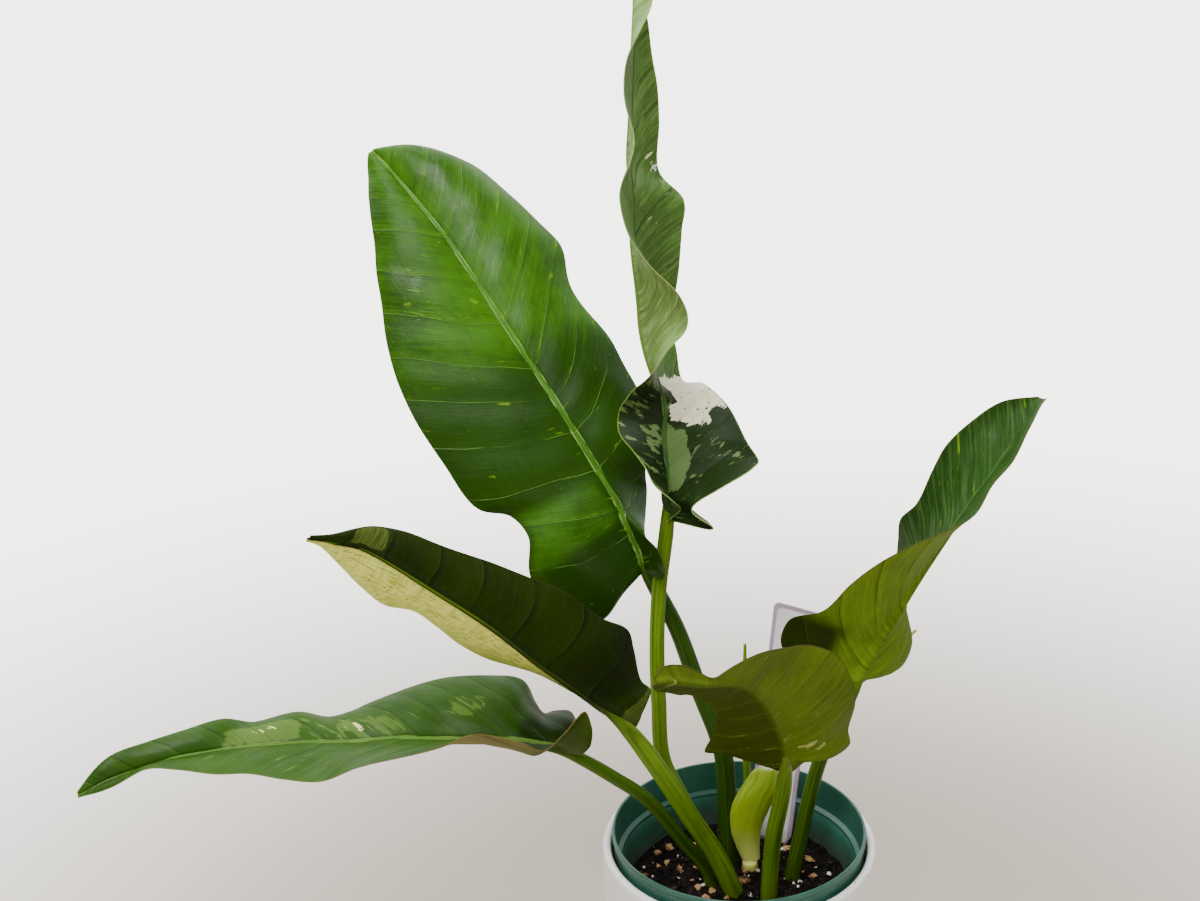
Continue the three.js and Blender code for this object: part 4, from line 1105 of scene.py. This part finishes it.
def label_plastic(name, width, height, taper, border, field, edging):
    """Blank plant label: a border in the edging's colour round a field with rounded corners, faint
    scuffs and a tide mark above the soil. The lay is the place on the plate."""
    g = Skin(name, paint(224, 222, 226))
    x, y, _ = g.split(g.attribute("lay"))
    corner, blur = 0.0035, 0.0003
    low, high = taper * 0.7, height - border
    dx = g.math("MAXIMUM", abs(x) - (width / 2 - border - corner), 0.0)
    dy = g.math("MAXIMUM", abs(y - (low + high) / 2) - ((high - low) / 2 - corner), 0.0)
    outside = g.step(g.distance(dx, dy), corner - blur, corner + blur)
    place = g.place()
    cloud = g.noise(place, 70.0, 4.0)
    cloudy = g.step(cloud, 0.3, 0.7)
    scuff = g.noise(g.scaled(place, 900.0, 900.0, 70.0), 1.0, 2.0)
    colour = g.layers(
        g.mix(cloudy, toned(field), toned(field, 0.9121, 0.9121, 0.9385)),
        (outside, g.mix(cloudy, toned(edging), toned(edging, 1.2118, 1.3098, 1.2118))),
        (g.step(y + cloud * 0.02, 0.036, 0.02) * 0.7, paint(96, 82, 66)),
        (g.step(scuff, 0.66, 0.8) * 0.25, paint(150, 148, 154)),
    )
    return g.wear(Base_Color=colour, Roughness=scuff * 0.25 + 0.28,
                  Normal=g.bump(scuff + outside * 0.3, 0.0001))


def straw_skin(name):
    """Dried sheath: straw yellow with long brown fibres."""
    g = Skin(name, paint(206, 178, 116))
    x, y, length = g.split(g.attribute("lay"))
    lines, soft = g.fibres(g.vector(length, x + y, y), 2600.0, 60.0)
    colour = g.layers(
        paint(176, 120, 44),
        (g.step(soft, 0.35, 0.7), paint(232, 190, 96)),
        (g.step(lines, 0.5, 0.8) * 0.5, paint(120, 82, 42)),
    )
    return g.wear(Base_Color=colour, Roughness=lines * 0.2 + 0.6,
                  Normal=g.bump(soft + lines, 0.0006))


def sheath_skin(name):
    """Pale sheath: yellow-green fading to cream at the foot, with close lengthwise ribs."""
    g = Skin(name, paint(160, 180, 40))
    x, y, edge = g.split(g.attribute("lay"))
    lines, soft = g.fibres(g.vector(y, x), 1500.0, 22.0)
    height = g.split(g.place())[2]
    colour = g.layers(
        paint(168, 190, 30),
        (g.step(height, 0.125, 0.185), paint(124, 152, 8)),
        (g.step(soft, 0.4, 0.7) * 0.45, paint(176, 196, 50)),
        (g.step(lines, 0.5, 0.8) * 0.3, paint(92, 120, 6)),
        (g.step(height, 0.152, 0.116, 0.0, 0.8), paint(236, 234, 130)),
        (g.step(edge, 0.0012, 0.0003) * 0.5, paint(214, 216, 100)),
        (g.step(height, 0.1185, 0.1135), paint(170, 160, 84)),
        (g.step(height, 0.1145, 0.11), paint(92, 60, 36)),
    )
    return g.wear(Base_Color=colour, Roughness=lines * 0.15 + 0.34,
                  Normal=g.bump(soft + lines * 0.5, 0.0008))


def pale_ground(name, ground):
    """Plain pale studio floor with a very faint clouding. Seen straight on by the camera it glows
    towards white with the distance from the plant, so the backdrop shows no horizon."""
    g = Skin(name, paint(236, 236, 236))
    place = g.place()
    cloud = g.noise(place, 3.0, 2.0)
    x, y, _ = g.split(place)
    glow = g.camera_sees() * g.step(g.distance(x, y), 0.22, 1.3)
    return g.wear(
        Base_Color=g.mix(cloud, toned(ground), toned(ground, 0.911, 0.8949, 0.8745)),
        Roughness=cloud * 0.1 + 0.6,
        Emission_Color=g.vector(glow, glow, glow), Emission_Strength=4.0)


# ---- Settings ------------------------------------------------------------------------------

def size_setting(name, description, default):
    """Property for a length in metres."""
    return FloatProperty(name=name, description=description, default=default, min=0.0,
                         unit="LENGTH")


def count_setting(name, description, default, least=0):
    """Property for a whole number."""
    return IntProperty(name=name, description=description, default=default, min=least)


def strength_setting(name, description, default):
    """Property for a strength."""
    return FloatProperty(name=name, description=description, default=default, min=0.0)


def colour_setting(name, description, *default):
    """Property for a colour, whose default is a screen colour in 0 to 255."""
    return FloatVectorProperty(name=name, description=description, default=paint(*default)[:3],
                               min=0.0, max=1.0, subtype="COLOR")


class LeafSettings(bpy.types.PropertyGroup):
    """Sizes that every leaf shares."""
    rows: count_setting("Rows", "Rows of faces along each leaf", 230, 20)
    lanes: count_setting("Lanes", "Rows of faces across each half", 32, 4)
    sheet: size_setting("Thickness", "Thickness of the blade", 0.0008)
    rib_foot: size_setting("Rib at the foot", "Depth of the rib under the blade there", 0.0034)
    rib_tip: size_setting("Rib at the tip", "Depth of the rib under the blade there", 0.0005)
    quilt: size_setting("Quilting", "How far the blade swells between side veins", 0.0004)
    ruffle: size_setting("Ruffle", "Height of the fine waves along the margins", 0.0008)


class PotSettings(bpy.types.PropertyGroup):
    """Faces and colours of the two pots."""
    sides: count_setting("Sides", "Faces round each pot", 192, 24)
    step: size_setting("Step", "Longest face up a pot's side", 0.006)
    glaze: colour_setting("Glaze", "Colour of the cover pot", 253, 252, 249)
    plastic: colour_setting("Plastic", "Colour of the nursery pot", 50, 104, 86)


class SoilSettings(bpy.types.PropertyGroup):
    """Counts and sizes of what lies on the soil."""
    grains: count_setting("Grains", "Loose dark soil grains", 1500)
    perlite: count_setting("Perlite", "White perlite crumbs", 80)
    bark: count_setting("Bark", "Brown bark chips", 85)
    relief: size_setting("Relief", "Height of the soil's broad waves", 0.0013)


class LabelSettings(bpy.types.PropertyGroup):
    """Sizes and colours of the plant label."""
    border: size_setting("Border", "Width of the border", 0.0028)
    thickness: size_setting("Thickness", "Thickness of the plate", 0.0008)
    field: colour_setting("Field", "Colour of the blank field", 252, 252, 254)
    edging: colour_setting("Border colour", "Colour of the border", 178, 154, 178)


class StageSettings(bpy.types.PropertyGroup):
    """Light and backdrop."""
    key: FloatProperty(name="Key light", description="Power of the large light in front",
                       default=38.0, unit="POWER")
    top: FloatProperty(name="Top light", description="Power of the large light overhead",
                       default=20.0, unit="POWER")
    front: strength_setting("Front room", "Strength of the even light from the front", 0.4)
    behind: strength_setting("Rear wall", "Strength of the even light from behind", 1.5)
    backdrop: strength_setting("Backdrop", "Brightness of the backdrop to the camera", 5.0)
    room: colour_setting("Room", "Colour of the light from all round", 255, 255, 255)
    ground: colour_setting("Floor", "Colour of the floor", 196, 185, 170)


class PlantSettings(bpy.types.PropertyGroup):
    """All settings of the plant."""
    leaf: PointerProperty(type=LeafSettings, name="Leaves", description="Leaf sizes")
    pot: PointerProperty(type=PotSettings, name="Pots", description="Pot sizes")
    soil: PointerProperty(type=SoilSettings, name="Soil", description="Soil and crumbs")
    label: PointerProperty(type=LabelSettings, name="Label", description="Plant label")
    stage: PointerProperty(type=StageSettings, name="Stage", description="Light and backdrop")


def dress(piece, node, stands_in=True):
    """Fixes a finished piece to the frame: it rides on the root body and, unless it only lies on
    the node, stands for it."""
    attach(piece, "root")
    if stands_in:
        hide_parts(node)


# ---- Pieces --------------------------------------------------------------------------------

class PLANT_OT_leaves(bpy.types.Operator):
    """Make the six leaves with their stalks"""
    bl_idname = "plant.leaves"
    bl_label = "Leaves"

    def execute(self, context):
        s = context.scene.plant.leaf
        for seed, (name, spec) in enumerate(LEAVES.items()):
            shape = Shape()
            lifts = [s.rib_foot / MM, s.rib_tip / MM]
            q, rib, normal = leaf_blade(
                shape, spec, s.rows, s.lanes, s.sheet / MM, lifts, s.quilt / MM, s.ruffle / MM,
                seed, spec.get("reach", 0.99))
            path, radii, joint = stalk_route(spec, q, rib, normal)
            tube(shape, path, radii, sides=28, steps=230, slot=2, ridges=0.015, joint=joint)
            upper, lower, stalk, rib_colour = LEAF_LOOKS[name]
            piece = shape.build(name + "_skin", [
                leaf_skin(name + "_upper", spec["veins"], upper),
                leaf_skin(name + "_under", spec["veins"], lower, under=True),
                stalk_skin(name + "_stalk", *stalk, rib_colour),
            ])
            dress(piece, name)
        return {"FINISHED"}


class PLANT_OT_new_growth(bpy.types.Operator):
    """Make the rolled new leaf, the pale sheath and the dried sheath"""
    bl_idname = "plant.new_growth"
    bl_label = "New growth"

    def execute(self, context):
        shape = Shape()
        tube(shape, SPIKE, SPIKE_RADII, sides=28, steps=90, ridges=0.05, twist=4.0)
        rolled = stalk_skin("rolled_leaf", *SUNNY_STALK, SUNNY_STALK[1])
        dress(shape.build("new_leaf_spike_skin", [rolled]), "new_leaf_spike")
        shape = Shape()
        spec = dict(stations=SHEATH, bow=[[-8, -8], [-8, -8]], veins=[400, 0, 0, 0],
                    rib_band=[9, 3])
        leaf_blade(shape, spec, rows=90, lanes=20, sheet=1.4, rib_lift=[0, 0], quilt=0, ruffle=0.15,
                   seed=9, reach=0.97, crown=0)
        tube(shape, SHEATH_STUB, [6.6, 6.0, 4.6], sides=28, steps=20, ridges=0.02)
        skin = sheath_skin("pale_sheath_skin")
        dress(shape.build("pale_sheath_shell", [skin, skin]), "pale_sheath")
        shape = Shape()
        tube(shape, STRAW, STRAW_RADII, sides=20, steps=90, squash=0.45, ridges=0.06, twist=2.2)
        dress(shape.build("dried_sheath_strip", [straw_skin("dried_straw")]), "dried_sheath")
        return {"FINISHED"}


def soil_height(x, y, relief):
    """Soil level: broad waves, a mound round the stalks, crumbs on a sunflower spiral and fine
    ripples."""
    waves = np.sin(x * 0.13 + 1) * np.cos(y * 0.11) + 0.6 * np.sin(x * 0.31 - y * 0.27)
    mound = 2.5 * np.exp(-(x * x + y * y) / 900)
    k = np.arange(46)
    turn, reach = k * np.pi * (3 - math.sqrt(5)), 62 * np.sqrt((k + 0.5) / 46)
    size = 2.6 + 2.2 * np.abs(np.sin(k * 13))
    far = np.hypot(x[..., None] - reach * np.cos(turn), y[..., None] - reach * np.sin(turn)) / size
    lumps = np.where(far < 1, 0.45 * size * (1 - far * far), 0).sum(axis=-1)
    fine_ripple = 0.35 * ripple(x * 0.9, y * 0.9, 21) + 0.25 * ripple(x * 2.1, y * 2.1, 22)
    return SOIL_Z + relief * waves + mound + lumps + fine_ripple


def crumb_ball(level):
    """Unit ball of triangles: an icosahedron, each face cut in four level times."""
    g = (1 + math.sqrt(5)) / 2
    points = unit(np.array([
        [-1, g, 0], [1, g, 0], [-1, -g, 0], [1, -g, 0], [0, -1, g], [0, 1, g], [0, -1, -g],
        [0, 1, -g], [g, 0, -1], [g, 0, 1], [-g, 0, -1], [-g, 0, 1]], float))
    faces = np.array([
        [0, 11, 5], [0, 5, 1], [0, 1, 7], [0, 7, 10], [0, 10, 11], [1, 5, 9], [5, 11, 4],
        [11, 10, 2], [10, 7, 6], [7, 1, 8], [3, 9, 4], [3, 4, 2], [3, 2, 6], [3, 6, 8], [3, 8, 9],
        [4, 9, 5], [2, 4, 11], [6, 2, 10], [8, 6, 7], [9, 8, 1]])
    for _ in range(level):
        edges = np.concatenate([faces[:, [0, 1]], faces[:, [1, 2]], faces[:, [2, 0]]])
        pairs, back = np.unique(np.sort(edges, axis=1), axis=0, return_inverse=True)
        a, b, c = (back.reshape(3, -1) + len(points))
        points = np.vstack([points, unit(points[pairs].mean(axis=1))])
        faces = np.vstack([np.stack([faces[:, 0], a, c], 1), np.stack([faces[:, 1], b, a], 1),
                           np.stack([faces[:, 2], c, b], 1), np.stack([a, b, c], 1)])
    return points, faces


def rotated(a, b, angle):
    """Coordinates a and b of each row's points, turned by the row's angle."""
    c, s = np.cos(angle)[:, None], np.sin(angle)[:, None]
    return a * c - b * s, a * s + b * c


def strew(shape, count, seed, sizes, level, relief, flat):
    """Crumbs strewn over the soil: copies of one ball, each stretched along three axes, dented by
    ripples of its own, turned at random and set half its height into the soil."""
    reach, jag = 64.0, 0.25
    rng = np.random.default_rng(seed)
    ball, faces = crumb_ball(level)
    radius, turn = reach * np.sqrt(rng.uniform(0, 1, count)), rng.uniform(0, 2 * np.pi, count)
    x, y = radius * np.cos(turn), radius * np.sin(turn)
    size = rng.uniform(sizes[0], sizes[1], count) * rng.uniform(0.6, 1.0, count)
    stretch = np.stack([size, size * rng.uniform(0.5, 0.9, count),
                        size * flat * rng.uniform(0.6, 1.0, count)], axis=1)
    pitch = rng.uniform(2, 5, (count, 1))
    ways = (ball @ unit(rng.normal(size=(3, 1)))).T
    dent = 1 + jag * np.sin(pitch * ways * 3 + rng.uniform(0, 6, (count, 1)))
    local = ball[None] * dent[..., None] * stretch[:, None]
    spin, tilt = rng.uniform(0, 2 * np.pi, count), rng.normal(0, 0.35, count)
    lx, ly, lz = local[..., 0], local[..., 1], local[..., 2]
    ly, lz = rotated(ly, lz, tilt)
    lx, ly = rotated(lx, ly, spin)
    base = soil_height(x, y, relief) + stretch[:, 2] * 0.35
    points = np.stack([lx + x[:, None], ly + y[:, None], lz + base[:, None]], axis=-1)
    first = shape.add_points(points)
    numbers = first + np.arange(count)[:, None, None] * len(ball) + faces[None]
    shape.add_faces(numbers.reshape(-1, 3))


class PLANT_OT_soil(bpy.types.Operator):
    """Make the soil with its loose grains, perlite and bark"""
    bl_idname = "plant.soil"
    bl_label = "Soil"

    def execute(self, context):
        s = context.scene.plant.soil
        relief = s.relief / MM
        floor = COVER_FLOOR + CLEARANCE + NURSERY_WALL + CLEARANCE
        foot_z, top_z = COVER_FLOOR + CLEARANCE + 4.5, NURSERY_RIM_Z - NURSERY_BAND - 3.5
        top_radius = NURSERY_RIM_RADIUS - NURSERY_STEP - NURSERY_WALL

        def inside(z):
            share = (z - foot_z) / (top_z - foot_z)
            outside = NURSERY_FOOT_RADIUS + (top_radius - NURSERY_FOOT_RADIUS) * share
            return outside - NURSERY_WALL - CLEARANCE

        shape = Shape()
        walls = np.array([[NURSERY_FOOT_RADIUS - 5, floor], [inside(foot_z), foot_z + 0.3],
                          [inside(SOIL_Z - 4), SOIL_Z - 4]])
        level_radii = inside(SOIL_Z) * np.linspace(0.995, 0.02, 60)
        x, y = rings(np.concatenate([walls[:, 0], level_radii]), 180)
        z = soil_height(x, y, relief)
        z[:3] = walls[:, 1:]
        join_rings(shape, x, y, z)
        dress(shape.build("soil_surface", [dark_soil("damp_soil")]), "soil")

        for name, count, seed, sizes, level, flat, stuff in (
            ("soil_grains", s.grains, 5, (0.7, 2.6), 0, 0.8,
             ("soil_grain", paint(6, 4, 3), paint(36, 26, 19), 300.0, 0.8, 900.0)),
            ("perlite_crumbs", s.perlite, 6, (0.6, 2.2), 1, 0.85,
             ("perlite", paint(206, 198, 178), paint(252, 248, 236), 500.0, 0.75, 1100.0)),
            ("bark_chips", s.bark, 7, (1.2, 4.8), 1, 0.4,
             ("bark", paint(74, 48, 26), paint(178, 138, 94), 260.0, 0.7, 800.0)),
        ):
            shape = Shape()
            strew(shape, count, seed, sizes, level, relief, flat)
            dress(shape.build(name, [crumb_stuff(*stuff)], crease=35), "soil", stands_in=False)
        return {"FINISHED"}


class PLANT_OT_pots(bpy.types.Operator):
    """Make the cover pot and the nursery pot"""
    bl_idname = "plant.pots"
    bl_label = "Pots"

    def execute(self, context):
        s = context.scene.plant.pot
        step = s.step / MM
        inner = COVER_RADIUS - COVER_WALL
        lip = COVER_WALL / 2
        profile = [
            [0, 0], [20, 0], [45, 0],
            *arc(COVER_RADIUS - COVER_FOOT_ROUND, COVER_FOOT_ROUND, COVER_FOOT_ROUND, -90, 0, 12),
            *arc(COVER_RADIUS - lip, COVER_HEIGHT - lip, lip, 0, 180, 16),
            *arc(inner - 4, COVER_FLOOR + 4, 4, 0, -90, 8),
            [45, COVER_FLOOR], [20, COVER_FLOOR], [0, COVER_FLOOR],
        ]
        shape = Shape()
        round_pot(shape, fine(profile, step), s.sides)
        dress(shape.build("cover_pot_shell", [glazed_clay("glazed_clay", s.glaze)]), "cover_pot")

        floor, wall, rim = COVER_FLOOR + CLEARANCE, NURSERY_WALL, NURSERY_RIM_RADIUS
        step_z = NURSERY_RIM_Z - NURSERY_BAND
        body = rim - NURSERY_STEP - wall
        profile = [
            [0, floor], [20, floor], [NURSERY_FOOT_RADIUS - 3, floor],
            [NURSERY_FOOT_RADIUS, floor + 4], [body, step_z - 3], [rim - 1.2, step_z],
            [rim - 0.7, NURSERY_RIM_Z - 4], [rim, NURSERY_RIM_Z - 3], [rim, NURSERY_RIM_Z - 0.6],
            *arc(rim - 0.6, NURSERY_RIM_Z - 0.6, 0.6, 20, 90, 4),
            *arc(rim - wall + 0.5, NURSERY_RIM_Z - 0.5, 0.5, 90, 180, 4),
            [rim - wall - 0.3, NURSERY_RIM_Z - 5], [rim - wall - 1, step_z + 1],
            [body - wall + 0.6, step_z - 0.5], [body - wall + 0.6, step_z - 2.5],
            [body - wall, step_z - 3.5], [NURSERY_FOOT_RADIUS - wall, floor + 4.5],
            [NURSERY_FOOT_RADIUS - wall - 2.5, floor + wall], [20, floor + wall], [0, floor + wall],
        ]
        shape = Shape()
        round_pot(shape, fine(profile, step), s.sides)
        pot = shape.build("nursery_pot_shell", [pot_plastic("pot_plastic", s.plastic)], crease=28)
        drills = Shape()
        for k in range(5):
            turn = 2 * math.pi * (k + 0.5) / 5
            at = [DRAIN_RING * math.cos(turn), DRAIN_RING * math.sin(turn)]
            route = [[*at, floor - 2], [*at, floor + 1], [*at, floor + wall + 2]]
            tube(drills, route, [DRAIN_RADIUS] * 3, sides=32, steps=2)
        cutter = drills.build("drain_holes", [])
        cut = pot.modifiers.new("Drain holes", "BOOLEAN")
        cut.operation, cut.object, cut.solver = "DIFFERENCE", cutter, "EXACT"
        context.view_layer.objects.active = pot
        bpy.ops.object.modifier_apply(modifier=cut.name)
        bpy.data.objects.remove(cutter)
        dress(pot, "nursery_pot")
        return {"FINISHED"}


class PLANT_OT_label(bpy.types.Operator):
    """Make the blank plant label"""
    bl_idname = "plant.label"
    bl_label = "Plant label"

    def execute(self, context):
        s = context.scene.plant.label
        w, h, foot, c = LABEL_WIDTH / 2, LABEL_HEIGHT, LABEL_FOOT_WIDTH / 2, LABEL_CORNER
        outline = np.array([
            [-foot, 0], [foot, 0], [w, LABEL_TAPER],
            *arc(w - c, h - c, c, 0, 90, 12), *arc(-w + c, h - c, c, 90, 180, 12),
            [-w, LABEL_TAPER],
        ])
        lean = Matrix.Rotation(math.radians(90 - LABEL_LEAN_BACK), 4, "X")
        tilt = Matrix.Rotation(math.radians(LABEL_LEAN_RIGHT), 4, "Y")
        turn = Matrix.Rotation(math.radians(LABEL_TURN), 4, "Z")
        place = np.array((Matrix.Translation(LABEL_FOOT) @ turn @ tilt @ lean).to_4x4())
        half = s.thickness / MM / 2
        bevel = 0.2
        shape = Shape()
        middle = np.array([0, h / 2])
        inset = outline - np.sign(outline - middle) * bevel
        n = len(outline)
        edges = [(inset, -half), (outline, -half + bevel), (outline, half - bevel), (inset, half)]
        points = np.concatenate([np.column_stack([edge, np.full(n, z)]) for edge, z in edges])
        world = points @ place[:3, :3].T + place[:3, 3]
        first = shape.add_points(world, points)
        shape.add_faces(grid_quads(4, n, first, wrap=True))
        shape.add_faces([np.arange(first, first + n)[::-1]])
        shape.add_faces([np.arange(first + 3 * n, first + 4 * n)])
        plate = label_plastic("label_plastic", LABEL_WIDTH * MM, LABEL_HEIGHT * MM,
                              LABEL_TAPER * MM, s.border, s.field, s.edging)
        dress(shape.build("plant_label_plate", [plate], crease=30), "plant_label")
        return {"FINISHED"}


class PLANT_OT_stage(bpy.types.Operator):
    """Make the floor, the lights and the camera"""
    bl_idname = "plant.stage"
    bl_label = "Stage"

    def execute(self, context):
        s = context.scene.plant.stage
        shape = Shape()
        radii = np.concatenate([np.geomspace(60000, 1500, 24), np.linspace(1200, 40, 30)])
        join_rings(shape, *rings(radii, 96), 0.0, closed=False)
        floor = shape.build("floor", [pale_ground("pale_ground", s.ground)])

        world = bpy.data.worlds.new("soft_room")
        context.scene.world = world
        world.use_nodes = True
        back = world.node_tree.nodes["Background"]
        g = Graph(world.node_tree)
        facing = g.split(g.node("ShaderNodeTexCoord", output="Generated"))[1]
        lit = g.step(facing, -0.2, 0.5, s.front, s.behind)
        g.put(back.inputs["Color"], toned(s.room))
        g.put(back.inputs["Strength"], g.camera_sees() * (s.backdrop - lit) + lit)

        def panel(name, place, width, power):
            data = bpy.data.lights.new(name, "AREA")
            data.shape = "RECTANGLE"
            data.size = data.size_y = width
            data.energy = power
            lamp = bpy.data.objects.new(name, data)
            lamp.location = place
            aim = Vector(LIGHTS_AIM) - Vector(place)
            lamp.rotation_euler = aim.to_track_quat("-Z", "Y").to_euler()
            context.scene.collection.objects.link(lamp)

        panel("key_light", *KEY_LIGHT, s.key)
        panel("top_light", *TOP_LIGHT, s.top)

        camera = bpy.data.cameras.new("camera")
        camera.lens, camera.sensor_width = CAMERA_LENS, CAMERA_SENSOR
        view = bpy.data.objects.new("camera", camera)
        context.scene.collection.objects.link(view)
        tip = Matrix.Rotation(math.radians(90 - CAMERA_PITCH), 4, "X")
        roll = Matrix.Rotation(math.radians(-CAMERA_ROLL), 4, "Z")
        view.matrix_world = Matrix.Translation(CAMERA_PLACE) @ tip @ roll
        context.scene.camera = view
        return {"FINISHED"}


class PLANT_PT_panel(bpy.types.Panel):
    """Buttons for the plant's pieces and their settings"""
    bl_label = "Plant"
    bl_idname = "PLANT_PT_panel"
    bl_space_type = "VIEW_3D"
    bl_region_type = "UI"
    bl_category = "Plant"

    def draw(self, context):
        for operator in OPERATORS:
            self.layout.operator(operator.bl_idname)
        settings = context.scene.plant
        for group in (settings.leaf, settings.pot, settings.soil, settings.label, settings.stage):
            box = self.layout.box()
            for name in group.__annotations__:
                box.prop(group, name)


SETTINGS = (LeafSettings, PotSettings, SoilSettings, LabelSettings, StageSettings, PlantSettings)
OPERATORS = (PLANT_OT_pots, PLANT_OT_soil, PLANT_OT_leaves, PLANT_OT_new_growth, PLANT_OT_label,
             PLANT_OT_stage)


def register():
    for cls in (*SETTINGS, *OPERATORS, PLANT_PT_panel):
        bpy.utils.register_class(cls)
    bpy.types.Scene.plant = PointerProperty(type=PlantSettings)


def unregister():
    del bpy.types.Scene.plant
    for cls in reversed((*SETTINGS, *OPERATORS, PLANT_PT_panel)):
        bpy.utils.unregister_class(cls)


def main():
    register()
    bpy.ops.plant.pots()
    bpy.ops.plant.soil()
    bpy.ops.plant.leaves()
    bpy.ops.plant.new_growth()
    bpy.ops.plant.label()
    bpy.ops.plant.stage()


if __name__ == "__main__":
    main()
